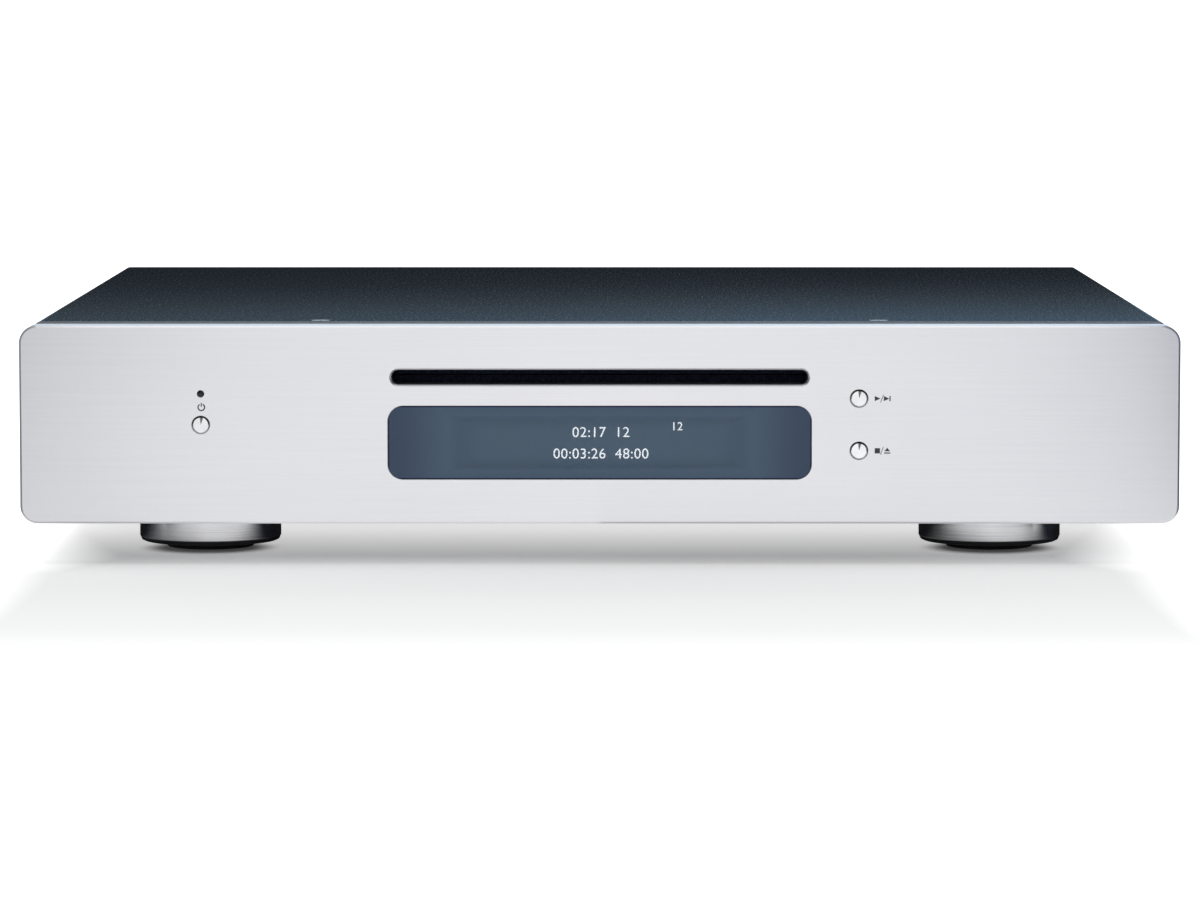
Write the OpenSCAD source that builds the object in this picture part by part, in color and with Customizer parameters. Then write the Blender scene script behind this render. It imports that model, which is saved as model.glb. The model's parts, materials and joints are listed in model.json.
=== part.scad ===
// Slot-loading disc player, free standing, built as separate pieces.
// Axes: +X to the viewer's right, +Y to the rear, +Z up. Origin: floor, middle of the footprint.

/* [Case] */
// Width of the front panel
body_w = 350; // [346:1:356]
// Depth from the button faces to the tips of the phono sockets
body_d = 330; // [330:0.5:334]
// Height from the floor to the lower edge of the front panel
foot_h = 12.4; // [11.4:0.2:14]
// Thickness of the aluminium front panel
panel_t = 10; // [9:0.5:11]
// Height of the front panel
panel_h = 59.9; // [59.5:0.1:61]
// Corner radius of the front panel
panel_corner_r = 5.3; // [4:0.1:6]
// Bevel around the front face
panel_bevel = 0.6; // [0.4:0.1:1.2]
// Width of the folded steel cover
cover_w = 343; // [339:1:345]
// Sheet steel thickness of cover, chassis and loader
sheet_t = 1.2; // [1:0.1:1.3]
// Outer bend radius of the cover
cover_bend_r = 2; // [1.6:0.2:3]
// Stand of the cover's top above the front panel
cover_stand = 0.5; // [0:0.1:0.8]

/* [Front] */
// Width of the disc slot, for a 120 mm disc
slot_w = 125.6; // [124:0.2:126]
// Height of the disc slot
slot_h = 4.5; // [4.4:0.1:4.8]
// Distance of the disc slot's centre below the panel's top edge
slot_down = 15.6; // [15.3:0.1:16.3]
// Width of the display window
window_w = 128; // [126:0.5:130]
// Height of the display window
window_h = 22.4; // [21.6:0.2:23]
// Distance of the window's centre below the panel's top edge
window_down = 35.35; // [35.1:0.05:35.9]
// Corner radius of the window
window_r = 4.7; // [4:0.1:5.5]
// Radius of the button caps
button_r = 2.5; // [2.3:0.1:2.6]
// Stand of a button face beyond the panel
button_proud = 0.1; // [0.1:0.1:0.5]
// Travel of a button when it is pressed
button_travel = 0.6; // [0.3:0.1:0.8]
// Distance of the standby button from the panel's end
standby_in = 54.7; // [54:0.1:56]
// Distance of the standby button below the panel's top edge
standby_down = 30; // [29.4:0.1:30.8]
// Distance of the standby lamp below the panel's top edge
lamp_down = 20.6; // [20.3:0.1:21.3]
// Distance of the play and stop buttons from the window's end
play_out = 14.2; // [14:0.1:15]
// Distance of the play button below the panel's top edge
play_down = 22; // [21.5:0.1:22.3]
// Distance of the stop button below the panel's top edge
stop_down = 37.8; // [37.3:0.1:38.3]

/* [Feet] */
// Radius of a foot
foot_r = 22; // [20:0.5:23]
// Distance of a foot's centre from the middle
foot_x = 121.5; // [118:0.5:124]
// Distance of the front feet behind the panel face
foot_back = 55; // [50:1:58]
// Radius of a foot's rubber pad
pad_r = 13.5; // [12:0.5:15]
// Stand of the pad below its lip
pad_proud = 2; // [1.5:0.25:2.5]
// Thickness of the pad's lip under the metal of the foot
pad_lip = 1.3; // [1:0.1:1.6]

/* [Loader] */
// Travel of the cam slide that drops the roller and the clamp
cam_travel = 10; // [9:0.5:10]
// Swing of the roller bracket
roller_swing = 7; // [5:0.5:7]
// Swing of the clamp arm
clamp_swing = 3.4; // [3:0.1:3.4]
// Travel of the optical pickup along its rods
pickup_travel = 34; // [30:1:34]

/* [Fits] */
// Radial gap of a shaft that turns in its bore
running_gap = 0.05; // [0.02:0.01:0.08]
// Gap around pieces that slide or swing past each other
free_gap = 0.3; // [0.25:0.05:0.35]
// Radial gap of a screw in its hole
screw_gap = 0.1; // [0.05:0.05:0.2]
// Radial gap of a pressed fit as drawn
press_gap = 0.02; // [0.01:0.01:0.04]

/* [Hidden] */
$fn = 64;
front = -body_d / 2;                    // button faces
panel_y = front + button_proud;         // face of the front panel
panel_back = panel_y + panel_t;
panel_z = foot_h;                       // lower edge of the panel
body_h = foot_h + panel_h;
slot_z = body_h - slot_down;
window_z = body_h - window_down;
standby_z = body_h - standby_down;
lamp_z = body_h - lamp_down;
play_z = body_h - play_down;
stop_z = body_h - stop_down;
standby_x = body_w / 2 - standby_in;
play_x = window_w / 2 + play_out;
back = body_d / 2;                      // tips of the phono sockets
cover_y = back - 9.6;                   // rear edge of the cover
cover_top = body_h + cover_stand;
cover_in = cover_w / 2 - sheet_t;       // inside of the cover's side
cover_under = cover_top - sheet_t;
base_z = panel_z + 0.6;                 // underside of the chassis
base_top = base_z + sheet_t;
rear_out = cover_y - sheet_t;           // outer face of the rear panel
rear_in = rear_out - sheet_t;
sub_y = panel_back + sheet_t;           // rear face of the front subframe
board_t = 1.6;
fboard_y = sub_y + 7.4;                 // front face of the front board
screw_r = 1.5;                          // M3
head_r = 2.8;
m25_r = 1.2;                            // M2.5
foot_front_y = panel_y + foot_back;
foot_rear_y = -foot_front_y;
cover_screw_x = 85;
cover_screw_y = panel_y + 19;
side_screw_y = cover_y - 45.4;
side_screw_z = base_z + 9;
rear_screw_x = cover_in - 19.3;
lip_screw_z = cover_under - 5.1;
tab_screw_z = base_z + 7;
panel_screw_x = cover_in - 11.3;
base_screw_x = cover_in - 29.3;

// Slot loader. Its disc plane is the middle of the slot.
lf_in = slot_w / 2 + 13.2;              // inside of a side wall
lf_out = lf_in + sheet_t;
lf_front = sub_y + 15.7;
lf_rear = lf_front + 152;
lf_floor = slot_z - 28.7;
lf_ftop = lf_floor + sheet_t;
lf_top = slot_z + 9.3;
spin_y = lf_front + 76;                 // turntable centre
seat_z = slot_z - 3.2;                  // disc seat when clamped
roll_r = 5;
roll_y = lf_front + 12;
roll_z = slot_z - 0.6 - roll_r;
shaft_r = 1.5;
piv_y = lf_front + 38;                  // roller bracket pivot
piv_z = slot_z - 14.7;
piv_r = 2;
arm_x = slot_w / 2 + 1.7;               // inner face of a bracket arm
arm_t = 3;
gear_n = 16;
gear_m = 0.65;
gear_r = gear_n * gear_m / 2;
gear_a = 53.13;                         // direction from the roller to the pulley gear
pg_y = roll_y + 2 * gear_r * cos(gear_a);
pg_z = roll_z + 2 * gear_r * sin(gear_a);
gear_x = arm_x + 3.7;
gear_w = 3;
pul_x = gear_x + 3.8;
pul_w = 3;
pul_root = 4.6;
mot_y = lf_front + 10;                  // loading motor shaft
mot_z = slot_z - 20.3;
mot_root = 1.9;
mot_x = arm_x - 2.3;                    // face of the loading motor
cmot_x = -arm_x - 5.5;                  // face of the clamp motor
belt_t = 1;
cam_x = -lf_in + 0.5;                   // outer face of the cam slide
cam_t = 2.5;
pin_r = 1.5;
pin_y = piv_y - 17;                     // bracket's cam pin at rest
pin_z = piv_z + 1;
cam_low = slot_z - 19.7;
cam_high = slot_z - 9.7;
rack_m = 0.8;
rack_z = slot_z - 16.2;                 // rack pitch line
pinion_n = 12;
pinion_r = pinion_n * rack_m / 2;
pinion_y = lf_front + 68;
pinion_z = rack_z - pinion_r;
guide_y = lf_front + 88;
guide_z = slot_z - 12.45;
hinge_y = lf_front + 144;               // clamp arm pivot
hinge_z = seat_z + 4.5;
wing_y = lf_front + 88;                 // clamp arm's cam pin, arm level
puck_r = 14;
puck_z = seat_z + 1.3;
tf_w = 48;                              // half width of the traverse frame
tf_front = lf_front + 46;
tf_rear = lf_front + 148;
tf_z = slot_z - 14.7;
tf_t = 2.5;
tf_top = tf_z + tf_t;
damp_x = tf_w - 6.8;
damp_y = [tf_front + 6, tf_rear - 6];
rod_r = 1.5;
rod_x = [-20, 22];
rod_z = slot_z - 9.2;
screw_x = 32;                           // leadscrew
lead_z = slot_z - 10.7;
lead_r = 1.5;
rod_y0 = spin_y + 10;
rod_y1 = tf_rear - 2;
lens_y = spin_y + 23.2;

// Rear fittings
inlet_x = -(cover_in - 39.3);
inlet_z = base_z + 30;
rocker_x = inlet_x + 35;
rocker_z = inlet_z;
rocker_y = rear_out - 4.4;
rocker_tilt = 8;
phono_x = [for (i = [2:-1:0]) cover_in - 63.3 - 18 * i];
phono_z = [base_z + 18, base_z + 35];
phono_r = 4.15;
phono_bore = 1.65;
collar_y = rear_out + 1.4;              // collars that the phono shells stand on
video_x = cover_in - 133.3;
opt_x = cover_in - 155.3;
rear_screw_at = [-rear_screw_x, opt_x - 14, rear_screw_x];
vent_x = (rocker_x + opt_x - 14) / 2;
mb_z = base_top + 6;                    // underside of both rear boards
mb_top = mb_z + board_t;
mb_x1 = cover_in - 9.3;
pb_x0 = -mb_x1;
pb_x1 = pb_x0 + 130;
mb_x0 = pb_x1 + 20;
bd_y0 = lf_rear + 16;
bd_y1 = rear_in - 7;
ffc_x = [10, 34];                       // ribbon connectors from the main board's left edge
ffc_y = bd_y0 + 6;                      // their front faces
ffc_w = 18;

// Piece to show

// ---- shapes ----
module box(x0, x1, y0, y1, z0, z1) {
    translate([x0, y0, z0]) cube([x1 - x0, y1 - y0, z1 - z0]);
}
// Profile drawn in X and Z, pushed from y0 to y1
module along_y(y0, y1) {
    translate([0, y1, 0]) rotate([90, 0, 0]) linear_extrude(y1 - y0) children();
}
// Profile drawn in Y and Z, pushed from x0 to x1
module along_x(x0, x1) {
    translate([x0, 0, 0]) rotate([90, 0, 90]) linear_extrude(x1 - x0) children();
}
module rod_y(r, y0, y1) {
    translate([0, y1, 0]) rotate([90, 0, 0]) cylinder(r = r, h = y1 - y0);
}
module rod_x_(r, x0, x1) {
    translate([x0, 0, 0]) rotate([0, 90, 0]) cylinder(r = r, h = x1 - x0);
}
module rod_z_(r, z0, z1) {
    translate([0, 0, z0]) cylinder(r = r, h = z1 - z0);
}
module rounded(w, h, r) {
    union() {
        square([w - 2 * r, h], center = true);
        square([w, h - 2 * r], center = true);
        for (x = [-1, 1], y = [-1, 1]) {
            translate([x * (w / 2 - r), y * (h / 2 - r)]) circle(r = r);
        }
    }
}
// Straight slot from a to b, r half its width, with its sides e inside its round ends
module slot_2d(a, b, r, e = 0) {
    d = b - a;
    union() {
        translate(a) circle(r = r);
        translate(b) circle(r = r);
        translate(a) rotate(atan2(d[1], d[0])) translate([0, e - r]) square([norm(d), 2 * (r - e)]);
    }
}
module gear_2d(n, m) {
    r = n * m / 2;
    union() {
        circle(r = r - 1.1 * m);
        for (k = [0:n - 1]) {
            rotate(360 * k / n) polygon([[r - 1.4 * m, -0.9 * m], [r - 1.1 * m, -0.86 * m],
                [r + 0.9 * m, -0.3 * m], [r + 0.9 * m, 0.3 * m], [r - 1.1 * m, 0.86 * m],
                [r - 1.4 * m, 0.9 * m]]);
        }
    }
}
module pan_screw(r, hr, hh, length) {
    union() {
        rod_z_(r, -length, 0);
        difference() {
            rod_z_(hr, 0, hh);
            translate([0, 0, hh - hh * 0.6]) cross_recess(hr, hh);
        }
    }
}
module cross_recess(hr, hh) {
    w = hr * 0.22;
    translate([-hr * 0.55, -w / 2, 0]) cube([hr * 1.1, w, hh]);
    translate([-w / 2, -hr * 0.55, 0]) cube([w, hr * 1.1, hh]);
}

// ---- front ----
module panel_blank() {
    x = body_w / 2 - panel_corner_r;
    z0 = panel_z + panel_corner_r;
    z1 = body_h - panel_corner_r;
    hull() {
        for (sx = [-1, 1], z = [z0, z1]) {
            translate([sx * x, 0, z]) {
                rod_y(panel_corner_r, panel_y + panel_bevel, panel_back);
                translate([0, panel_y + panel_bevel, 0]) rotate([90, 0, 0])
                    cylinder(r1 = panel_corner_r, r2 = panel_corner_r - panel_bevel, h = panel_bevel);
            }
        }
    }
}
module slot_bevel() {
    e = slot_h / 2;
    hull() {
        for (sx = [-1, 1]) {
            translate([sx * (slot_w / 2 - e), panel_y + 0.7, slot_z]) rotate([90, 0, 0])
                cylinder(r1 = e - 0.1, r2 = e + 0.8, h = 0.9);
        }
    }
}
window_ledge = 2.3;
disp_open_w = window_w - 5;
disp_open_h = window_h - 4.4;
bore_r = button_r + free_gap;
flange_r = button_r + 1.2;
flange_y = panel_y + 3;                 // floor of a button's counterbore
button_at = [[-standby_x, standby_z], [play_x, play_z], [play_x, stop_z]];
panel_screw_at = [for (x = [-panel_screw_x, panel_screw_x], z = [base_top + 7.8, cover_under - 9.6])
    [x, z]];
module front_panel() {
    color("#c9ccd2") difference() {
        panel_blank();
        along_y(panel_y - 1, panel_back + 1) translate([0, slot_z])
            slot_2d([-slot_w / 2 + slot_h / 2, 0], [slot_w / 2 - slot_h / 2, 0], slot_h / 2);
        slot_bevel();
        along_y(panel_y - 1, panel_y + window_ledge) translate([0, window_z])
            rounded(window_w, window_h, window_r);
        along_y(panel_y, panel_back + 1) translate([0, window_z])
            rounded(disp_open_w, disp_open_h, 2.5);
        for (b = button_at) {
            translate([b[0], 0, b[1]]) {
                rod_y(bore_r, panel_y - 1, panel_back + 1);
                rod_y(flange_r + free_gap, flange_y, panel_back + 1);
            }
        }
        translate([-standby_x, 0, lamp_z]) rod_y(1.1, panel_y - 1, panel_back + 1);
        for (p = panel_screw_at) {
            translate([p[0], 0, p[1]]) rod_y(screw_r + screw_gap, panel_back - 7, panel_back + 1);
        }
    }
}
module display_window() {
    color("#5c6b7c") along_y(panel_y + 0.3, panel_y + window_ledge) translate([0, window_z])
        rounded(window_w - 0.24, window_h - 0.24, window_r - 0.12);
}
module display_module() {
    color("#1c2a2e") union() {
        along_y(panel_y + window_ledge + 0.4, sub_y + 1) translate([0, window_z])
            rounded(disp_open_w - 0.8, disp_open_h - 0.8, 2.1);
        along_y(sub_y, fboard_y) translate([0, window_z])
            square([disp_open_w + 2, disp_open_h + 1.8], center = true);
    }
}
module front_board() {
    z0 = base_top + 3;
    z1 = slot_z - 7.4;
    z2 = slot_z + 1.6;
    standoffs = fboard_screw_at;
    x0 = -standby_x - 13.7;
    x1 = play_x + 21.8;
    xs = slot_w / 2 + 9.2;
    color("#1f5b3c") difference() {
        along_y(fboard_y, fboard_y + board_t) polygon([[x0, z0], [x1, z0], [x1, z2],
            [xs, z2], [xs, z1], [-xs, z1], [-xs, z2], [x0, z2]]);
        for (p = standoffs) {
            translate([p[0], 0, p[1]]) rod_y(m25_r + screw_gap, fboard_y - 1, fboard_y + 3);
        }
    }
}
fboard_screw_at = concat([for (x = [-standby_x - 9.7, play_x + 17.8], z = [base_top + 6.8, slot_z - 2.7])
    [x, z]], [for (s = [-1, 1]) [s * (slot_w / 2 + 5.2), base_top + 6.8]]);
module front_subframe() {
    w = panel_screw_x + 8;
    color("#8c9096") difference() {
        union() {
            box(-w, w, panel_back, sub_y, base_top, cover_under);
            box(-w, w, panel_back, sub_y + 15, cover_under - sheet_t, cover_under);
            box(-w, w, panel_back, sub_y + 11, base_top, base_top + sheet_t);
        }
        along_y(panel_back - 1, sub_y + 1) translate([0, slot_z]) rounded(frame_w + 6, 14.4, 2);
        along_y(panel_back - 1, sub_y + 1) translate([0, window_z])
            rounded(disp_open_w + 5, window_h + 1, 2);
        along_y(panel_back - 1, sub_y + 1) translate([-standby_x, (standby_z + lamp_z) / 2])
            rounded(12, lamp_z - standby_z + 10.6, 4);
        along_y(panel_back - 1, sub_y + 1) translate([play_x, (play_z + stop_z) / 2])
            rounded(10, play_z - stop_z + 10.2, 4);
        for (p = panel_screw_at) {
            translate([p[0], 0, p[1]]) rod_y(screw_r + screw_gap, panel_back - 1, sub_y + 1);
        }
        for (p = fboard_screw_at) {
            translate([p[0], 0, p[1]]) rod_y(m25_r + screw_gap, panel_back - 1, sub_y + 1);
        }
        for (x = [-cover_screw_x, cover_screw_x]) {
            translate([x, cover_screw_y, 0])
                rod_z_(screw_r + screw_gap, cover_under - 2, cover_under + 1);
        }
        for (x = [-base_screw_x, 0, base_screw_x]) {
            translate([x, sub_y + 6, 0]) rod_z_(screw_r + screw_gap, base_top - 1, base_top + 3);
        }
    }
}
module push_button() {
    edge = 0.3;
    nose = fboard_y - 2.5;
    union() {
        translate([0, front + edge, 0]) rotate([90, 0, 0])
            cylinder(r1 = button_r, r2 = button_r - edge, h = edge);
        rod_y(button_r, front + edge, flange_y + 0.5);
        rod_y(flange_r, flange_y, flange_y + 1);
        rod_y(1.5, flange_y + 0.5, nose);
    }
}
module standby_button() { color("#d8dadd") translate([-standby_x, 0, standby_z]) push_button(); }
module play_button() { color("#d8dadd") translate([play_x, 0, play_z]) push_button(); }
module stop_button() { color("#d8dadd") translate([play_x, 0, stop_z]) push_button(); }
module switch_bodies() {
    color("#2a2a2c") for (b = button_at) {
        translate([b[0], 0, b[1]]) difference() {
            box(-3, 3, fboard_y - 3.6, fboard_y, -3, 3);
            rod_y(1.5 + free_gap + 0.05, fboard_y - 4, fboard_y - 0.6);
        }
    }
}
module light_pipe() {
    color("#e8e4d8") translate([-standby_x, 0, lamp_z]) union() {
        rod_y(1.05, panel_y, fboard_y - 0.6);
        rod_y(2, panel_back, panel_back + 1.5);
        rod_y(1.7, fboard_y - 2.2, fboard_y);
    }
}
frame_w = slot_w + 13.4;
module slot_frame() {
    color("#17181a") difference() {
        along_y(panel_back, panel_back + 6) translate([0, slot_z]) rounded(frame_w, 13.6, 2);
        along_y(panel_back - 1, panel_back + 7) translate([0, slot_z])
            rounded(slot_w + 1.4, slot_h + 0.6, 2);
        along_y(panel_back + 2, panel_back + 3.3) translate([0, slot_z])
            square([slot_w + 1.4, 10], center = true);
    }
}
module dust_lips() {
    color("#0c0d0f") for (s = [-1, 1]) {
        along_y(panel_back + 2.05, panel_back + 3.25) translate([0, slot_z + s * 2.55])
            square([slot_w + 1, 4.7], center = true);
    }
}

// ---- case ----
module top_cover() {
    r = cover_bend_r;
    z0 = base_z;
    color("#3a4448") difference() {
        along_y(panel_back + 0.3, cover_y) difference() {
            union() {
                translate([-cover_w / 2, z0]) square([cover_w, cover_top - z0 - r]);
                translate([-cover_w / 2 + r, z0]) square([cover_w - 2 * r, cover_top - z0]);
                for (s = [-1, 1]) {
                    translate([s * (cover_w / 2 - r), cover_top - r]) circle(r = r);
                }
            }
            union() {
                q = r - sheet_t;
                translate([-cover_in, z0 - 1]) square([2 * cover_in, cover_under - z0 + 1 - q]);
                translate([-cover_in + q, z0]) square([2 * (cover_in - q), cover_under - z0]);
                for (s = [-1, 1]) {
                    translate([s * (cover_in - q), cover_under - q]) circle(r = q);
                }
            }
        }
        for (x = [-cover_screw_x, cover_screw_x]) {
            translate([x, cover_screw_y, cover_under - 0.3])
                cylinder(r1 = screw_r + 0.1, r2 = 3.2, h = sheet_t + 0.35);
        }
        for (y = [-side_screw_y, side_screw_y]) {
            translate([0, y, side_screw_z])
                rod_x_(screw_r + screw_gap, -cover_w / 2 - 1, cover_w / 2 + 1);
        }
    }
    color("#3a4448") difference() {
        box(-cover_in + 3, cover_in - 3, rear_out, cover_y, lip_screw_z - 4, cover_under);
        for (x = rear_screw_at) {
            translate([x, 0, lip_screw_z]) rod_y(screw_r + screw_gap, rear_out - 1, cover_y + 1);
        }
    }
}
module side_screw(s) {
    translate([s * cover_w / 2, 0, 0]) rotate([0, s * 90, 0])
        pan_screw(screw_r, head_r, 1.7, sheet_t * 2 + 1.5);
}
module case_screws() {
    color("#22272a") {
        for (x = [-cover_screw_x, cover_screw_x]) {
            translate([x, cover_screw_y, 0]) difference() {
                union() {
                    rod_z_(screw_r, cover_under - 5, cover_under);
                    translate([0, 0, cover_under - 0.01])
                        cylinder(r1 = screw_r, r2 = 2.9, h = sheet_t - 0.09);
                }
                translate([0, 0, cover_top - 0.7]) cross_recess(2.8, 2);
            }
        }
        for (s = [-1, 1], y = [-side_screw_y, side_screw_y]) {
            translate([0, y, side_screw_z]) side_screw(s);
        }
        for (x = rear_screw_at) {
            translate([x, cover_y, lip_screw_z]) rotate([-90, 0, 0])
                pan_screw(screw_r, head_r, 1.7, sheet_t * 2 + 2);
            translate([x, rear_out, tab_screw_z]) rotate([-90, 0, 0])
                pan_screw(screw_r, head_r, 1.7, sheet_t * 2 + 2);
        }
        for (p = panel_screw_at) {
            translate([p[0], sub_y, p[1]]) rotate([-90, 0, 0])
                pan_screw(screw_r, head_r, 1.7, 7);
        }
        for (x = [-base_screw_x, 0, base_screw_x]) {
            translate([x, sub_y + 6, base_top + sheet_t])
                pan_screw(screw_r, head_r, 1.7, sheet_t * 2);
        }
    }
}
module vent_row(n, pitch, length, w) {
    for (i = [0:n - 1]) {
        translate([(i - (n - 1) / 2) * pitch, 0])
            slot_2d([0, -length / 2 + w / 2], [0, length / 2 - w / 2], w / 2);
    }
}
loader_foot_at = [for (s = [-1, 1], y = [lf_front + 6, lf_rear - 6]) [s * (lf_out + 5), y]];
rear_board_at = [for (x = [mb_x0 + 5, mb_x1 - 5, pb_x0 + 5, pb_x1 - 5], y = [bd_y0 + 5, bd_y1 - 5])
    [x, y]];
foot_at = [for (s = [-1, 1], y = [foot_front_y, foot_rear_y]) [s * foot_x, y]];
module chassis_tray() {
    y0 = panel_back;
    color("#8c9096") difference() {
        union() {
            box(-cover_in, cover_in, y0, rear_in, base_z, base_top);
            for (s = [-1, 1]) {
                box(min(s * cover_in, s * (cover_in - sheet_t)),
                    max(s * cover_in, s * (cover_in - sheet_t)),
                    sub_y + 0.3, rear_in, base_z, cover_under - 4);
            }
            for (x = rear_screw_at) {
                box(x - 8, x + 8, rear_in - sheet_t, rear_in, base_z, tab_screw_z + 7);
            }
            for (p = foot_at) {
                translate([p[0], p[1], 0]) rod_z_(5, base_z, base_top + 2.5);
            }
        }
        for (p = foot_at) {
            translate([p[0], p[1], 0]) rod_z_(2 + screw_gap, base_z - 1, base_top + 4);
        }
        for (s = [-1, 1], y = [-side_screw_y, side_screw_y]) {
            translate([0, y, side_screw_z])
                rod_x_(screw_r + screw_gap, s > 0 ? cover_in - 3 : -cover_in - 1,
                    s > 0 ? cover_in + 1 : -cover_in + 3);
        }
        for (x = rear_screw_at) {
            translate([x, 0, tab_screw_z]) rod_y(screw_r + screw_gap, rear_in - 3, rear_in + 1);
        }
        for (x = [-base_screw_x, 0, base_screw_x]) {
            translate([x, sub_y + 6, 0]) rod_z_(screw_r + screw_gap, base_z - 1, base_top + 1);
        }
        for (p = loader_foot_at) {
            translate([p[0], p[1], 0]) rod_z_(screw_r + screw_gap, base_z - 1, base_top + 1);
        }
        for (p = rear_board_at) {
            translate([p[0], p[1], 0]) rod_z_(screw_r + screw_gap, base_z - 1, base_top + 1);
        }
        translate([pb_x0 + 65, bd_y0 + 30, base_z - 1]) linear_extrude(4) vent_row(14, 7, 30, 3);
        translate([mb_x1 - 85, bd_y0 + 30, base_z - 1]) linear_extrude(4) vent_row(14, 7, 30, 3);
    }
}
module inlet_outline(w, h, c) {
    polygon([[-w / 2, -h / 2], [w / 2, -h / 2], [w / 2, h / 2 - c], [w / 2 - c, h / 2],
        [-w / 2 + c, h / 2], [-w / 2, h / 2 - c]]);
}
inlet_ear = 20;
module rear_panel() {
    c = cover_bend_r - sheet_t + 0.2;
    color("#3f464a") difference() {
        along_y(rear_in, rear_out) polygon([[-cover_in, base_z], [cover_in, base_z],
            [cover_in, cover_under - c], [cover_in - c, cover_under], [-cover_in + c, cover_under],
            [-cover_in, cover_under - c]]);
        along_y(rear_in - 1, rear_out + 1) translate([inlet_x, inlet_z])
            inlet_outline(27.6, 20, 5);
        for (s = [-1, 1]) {
            translate([inlet_x + s * inlet_ear, 0, inlet_z])
                rod_y(screw_r + screw_gap, rear_in - 1, rear_out + 1);
        }
        along_y(rear_in - 1, rear_out + 1) translate([rocker_x, rocker_z])
            square([14.8, 22], center = true);
        for (x = phono_x, z = phono_z) {
            translate([x, 0, z]) rod_y(5.2, rear_in - 1, rear_out + 1);
        }
        along_y(rear_in - 1, rear_out + 1) translate([video_x, mb_top + 3.1])
            square([15.6, 6.2], center = true);
        along_y(rear_in - 1, rear_out + 1) translate([opt_x, mb_top + 5])
            square([10.4, 10.4], center = true);
        for (x = rear_screw_at, z = [lip_screw_z, tab_screw_z]) {
            translate([x, 0, z]) rod_y(screw_r + screw_gap, rear_in - 1, rear_out + 1);
        }
        along_y(rear_in - 1, rear_out + 1) translate([vent_x, inlet_z - 1]) vent_row(7, 7, 26, 3);
    }
}
module foot_cup() {
    e = 0.3;
    lower = pad_proud + pad_lip;
    difference() {
        union() {
            rod_z_(foot_r, lower + e, base_z);
            translate([0, 0, lower + e]) rotate_extrude()
                translate([foot_r - e, 0]) circle(r = e);
            rod_z_(foot_r - e, lower, lower + 2 * e);
        }
        rod_z_(pad_r + 0.1, lower - 1, lower + 1.3);
        rod_z_(4.3, lower, pad_proud + 6);
        rod_z_(2 + screw_gap, lower, base_z + 1);
    }
}
module feet() {
    color("#b9bcc0") for (p = foot_at) translate([p[0], p[1], 0]) foot_cup();
}
module foot_pads() {
    lip_r = foot_r - 0.3;
    lip_z = pad_proud + pad_lip;
    color("#1b1b1c") for (p = foot_at) {
        translate([p[0], p[1], 0]) rotate_extrude() polygon([[0, 0.25], [pad_r - 2.5, 0.25],
            [pad_r - 2, 0], [pad_r - 0.4, 0], [pad_r, 0.4], [pad_r, pad_proud],
            [lip_r - 1.1, pad_proud], [lip_r - 0.3, pad_proud + 0.35], [lip_r, pad_proud + 0.9],
            [lip_r, lip_z], [pad_r, lip_z], [pad_r, lip_z + 1.3], [0, lip_z + 1.3]]);
    }
}
module foot_screws() {
    color("#9a9da1") for (p = foot_at) {
        translate([p[0], p[1], pad_proud + 6]) rotate([180, 0, 0])
            pan_screw(2, 4, 2.6, base_top + 2.5 - pad_proud - 6);
    }
}

// ---- rear fittings ----
inlet_face = rear_out + 2.5;
inlet_deep = 16.5;
module mains_inlet() {
    color("#151517") translate([inlet_x, 0, inlet_z]) difference() {
        union() {
            along_y(rear_out, inlet_face) rounded(50, 24, 5);
            along_y(rear_out - 19, rear_out + 1) inlet_outline(27, 19.4, 5);
        }
        along_y(inlet_face - inlet_deep, inlet_face + 1) inlet_outline(24.4, 16.6, 4.5);
        for (s = [-1, 1]) {
            translate([s * inlet_ear, 0, 0]) rod_y(screw_r + screw_gap, rear_out - 1, inlet_face + 1);
        }
        for (p = inlet_pin_at) {
            along_y(rear_out - 20, rear_out) translate(p) square([2.1, 4.1], center = true);
        }
    }
}
inlet_pin_at = [[-7, -2], [7, -2], [0, 2]];
module inlet_pins() {
    color("#c7a64b") translate([inlet_x, 0, inlet_z]) union() {
        for (p = inlet_pin_at) {
            along_y(rear_out - 25, inlet_face - 3) translate(p) square([2, 4], center = true);
        }
    }
    color("#22272a") for (s = [-1, 1]) {
        translate([inlet_x + s * inlet_ear, inlet_face, inlet_z]) rotate([-90, 0, 0])
            pan_screw(screw_r, head_r, 1.7, 7);
    }
}
rk_w = 11.6;
rk_h = 17.2;
rk_pin = 1.2;
module mains_switch() {
    color("#151517") translate([rocker_x, 0, rocker_z]) difference() {
        union() {
            along_y(rear_out, rear_out + 2) rounded(17, 24.4, 1.5);
            along_y(rear_out - 16, rear_out + 1) square([14.4, 21.6], center = true);
        }
        along_y(rocker_y - 7.5, rear_out + 3) square([rk_w + 0.6, rk_h + 2.6], center = true);
        translate([0, rocker_y, 0])
            rod_x_(rk_pin + running_gap, -rk_w / 2 - 1, rk_w / 2 + 1);
    }
    color("#c7a64b") translate([rocker_x, 0, rocker_z]) for (z = [-5, 5]) {
        box(-2.4, 2.4, rear_out - 23, rear_out - 16, z - 0.4, z + 0.4);
    }
}
module mains_rocker() {
    h = rk_h / 2;
    color("#1d1d20") translate([rocker_x, rocker_y, rocker_z]) rotate([-rocker_tilt, 0, 0]) union() {
        along_x(-rk_w / 2, rk_w / 2) polygon([[-4, -2], [-4, 2], [2, h], [6.4, h], [5.3, 0],
            [6.4, -h], [2, -h]]);
        rod_x_(rk_pin, -rk_w / 2 - 0.8, rk_w / 2 + 0.8);
    }
}
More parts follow.
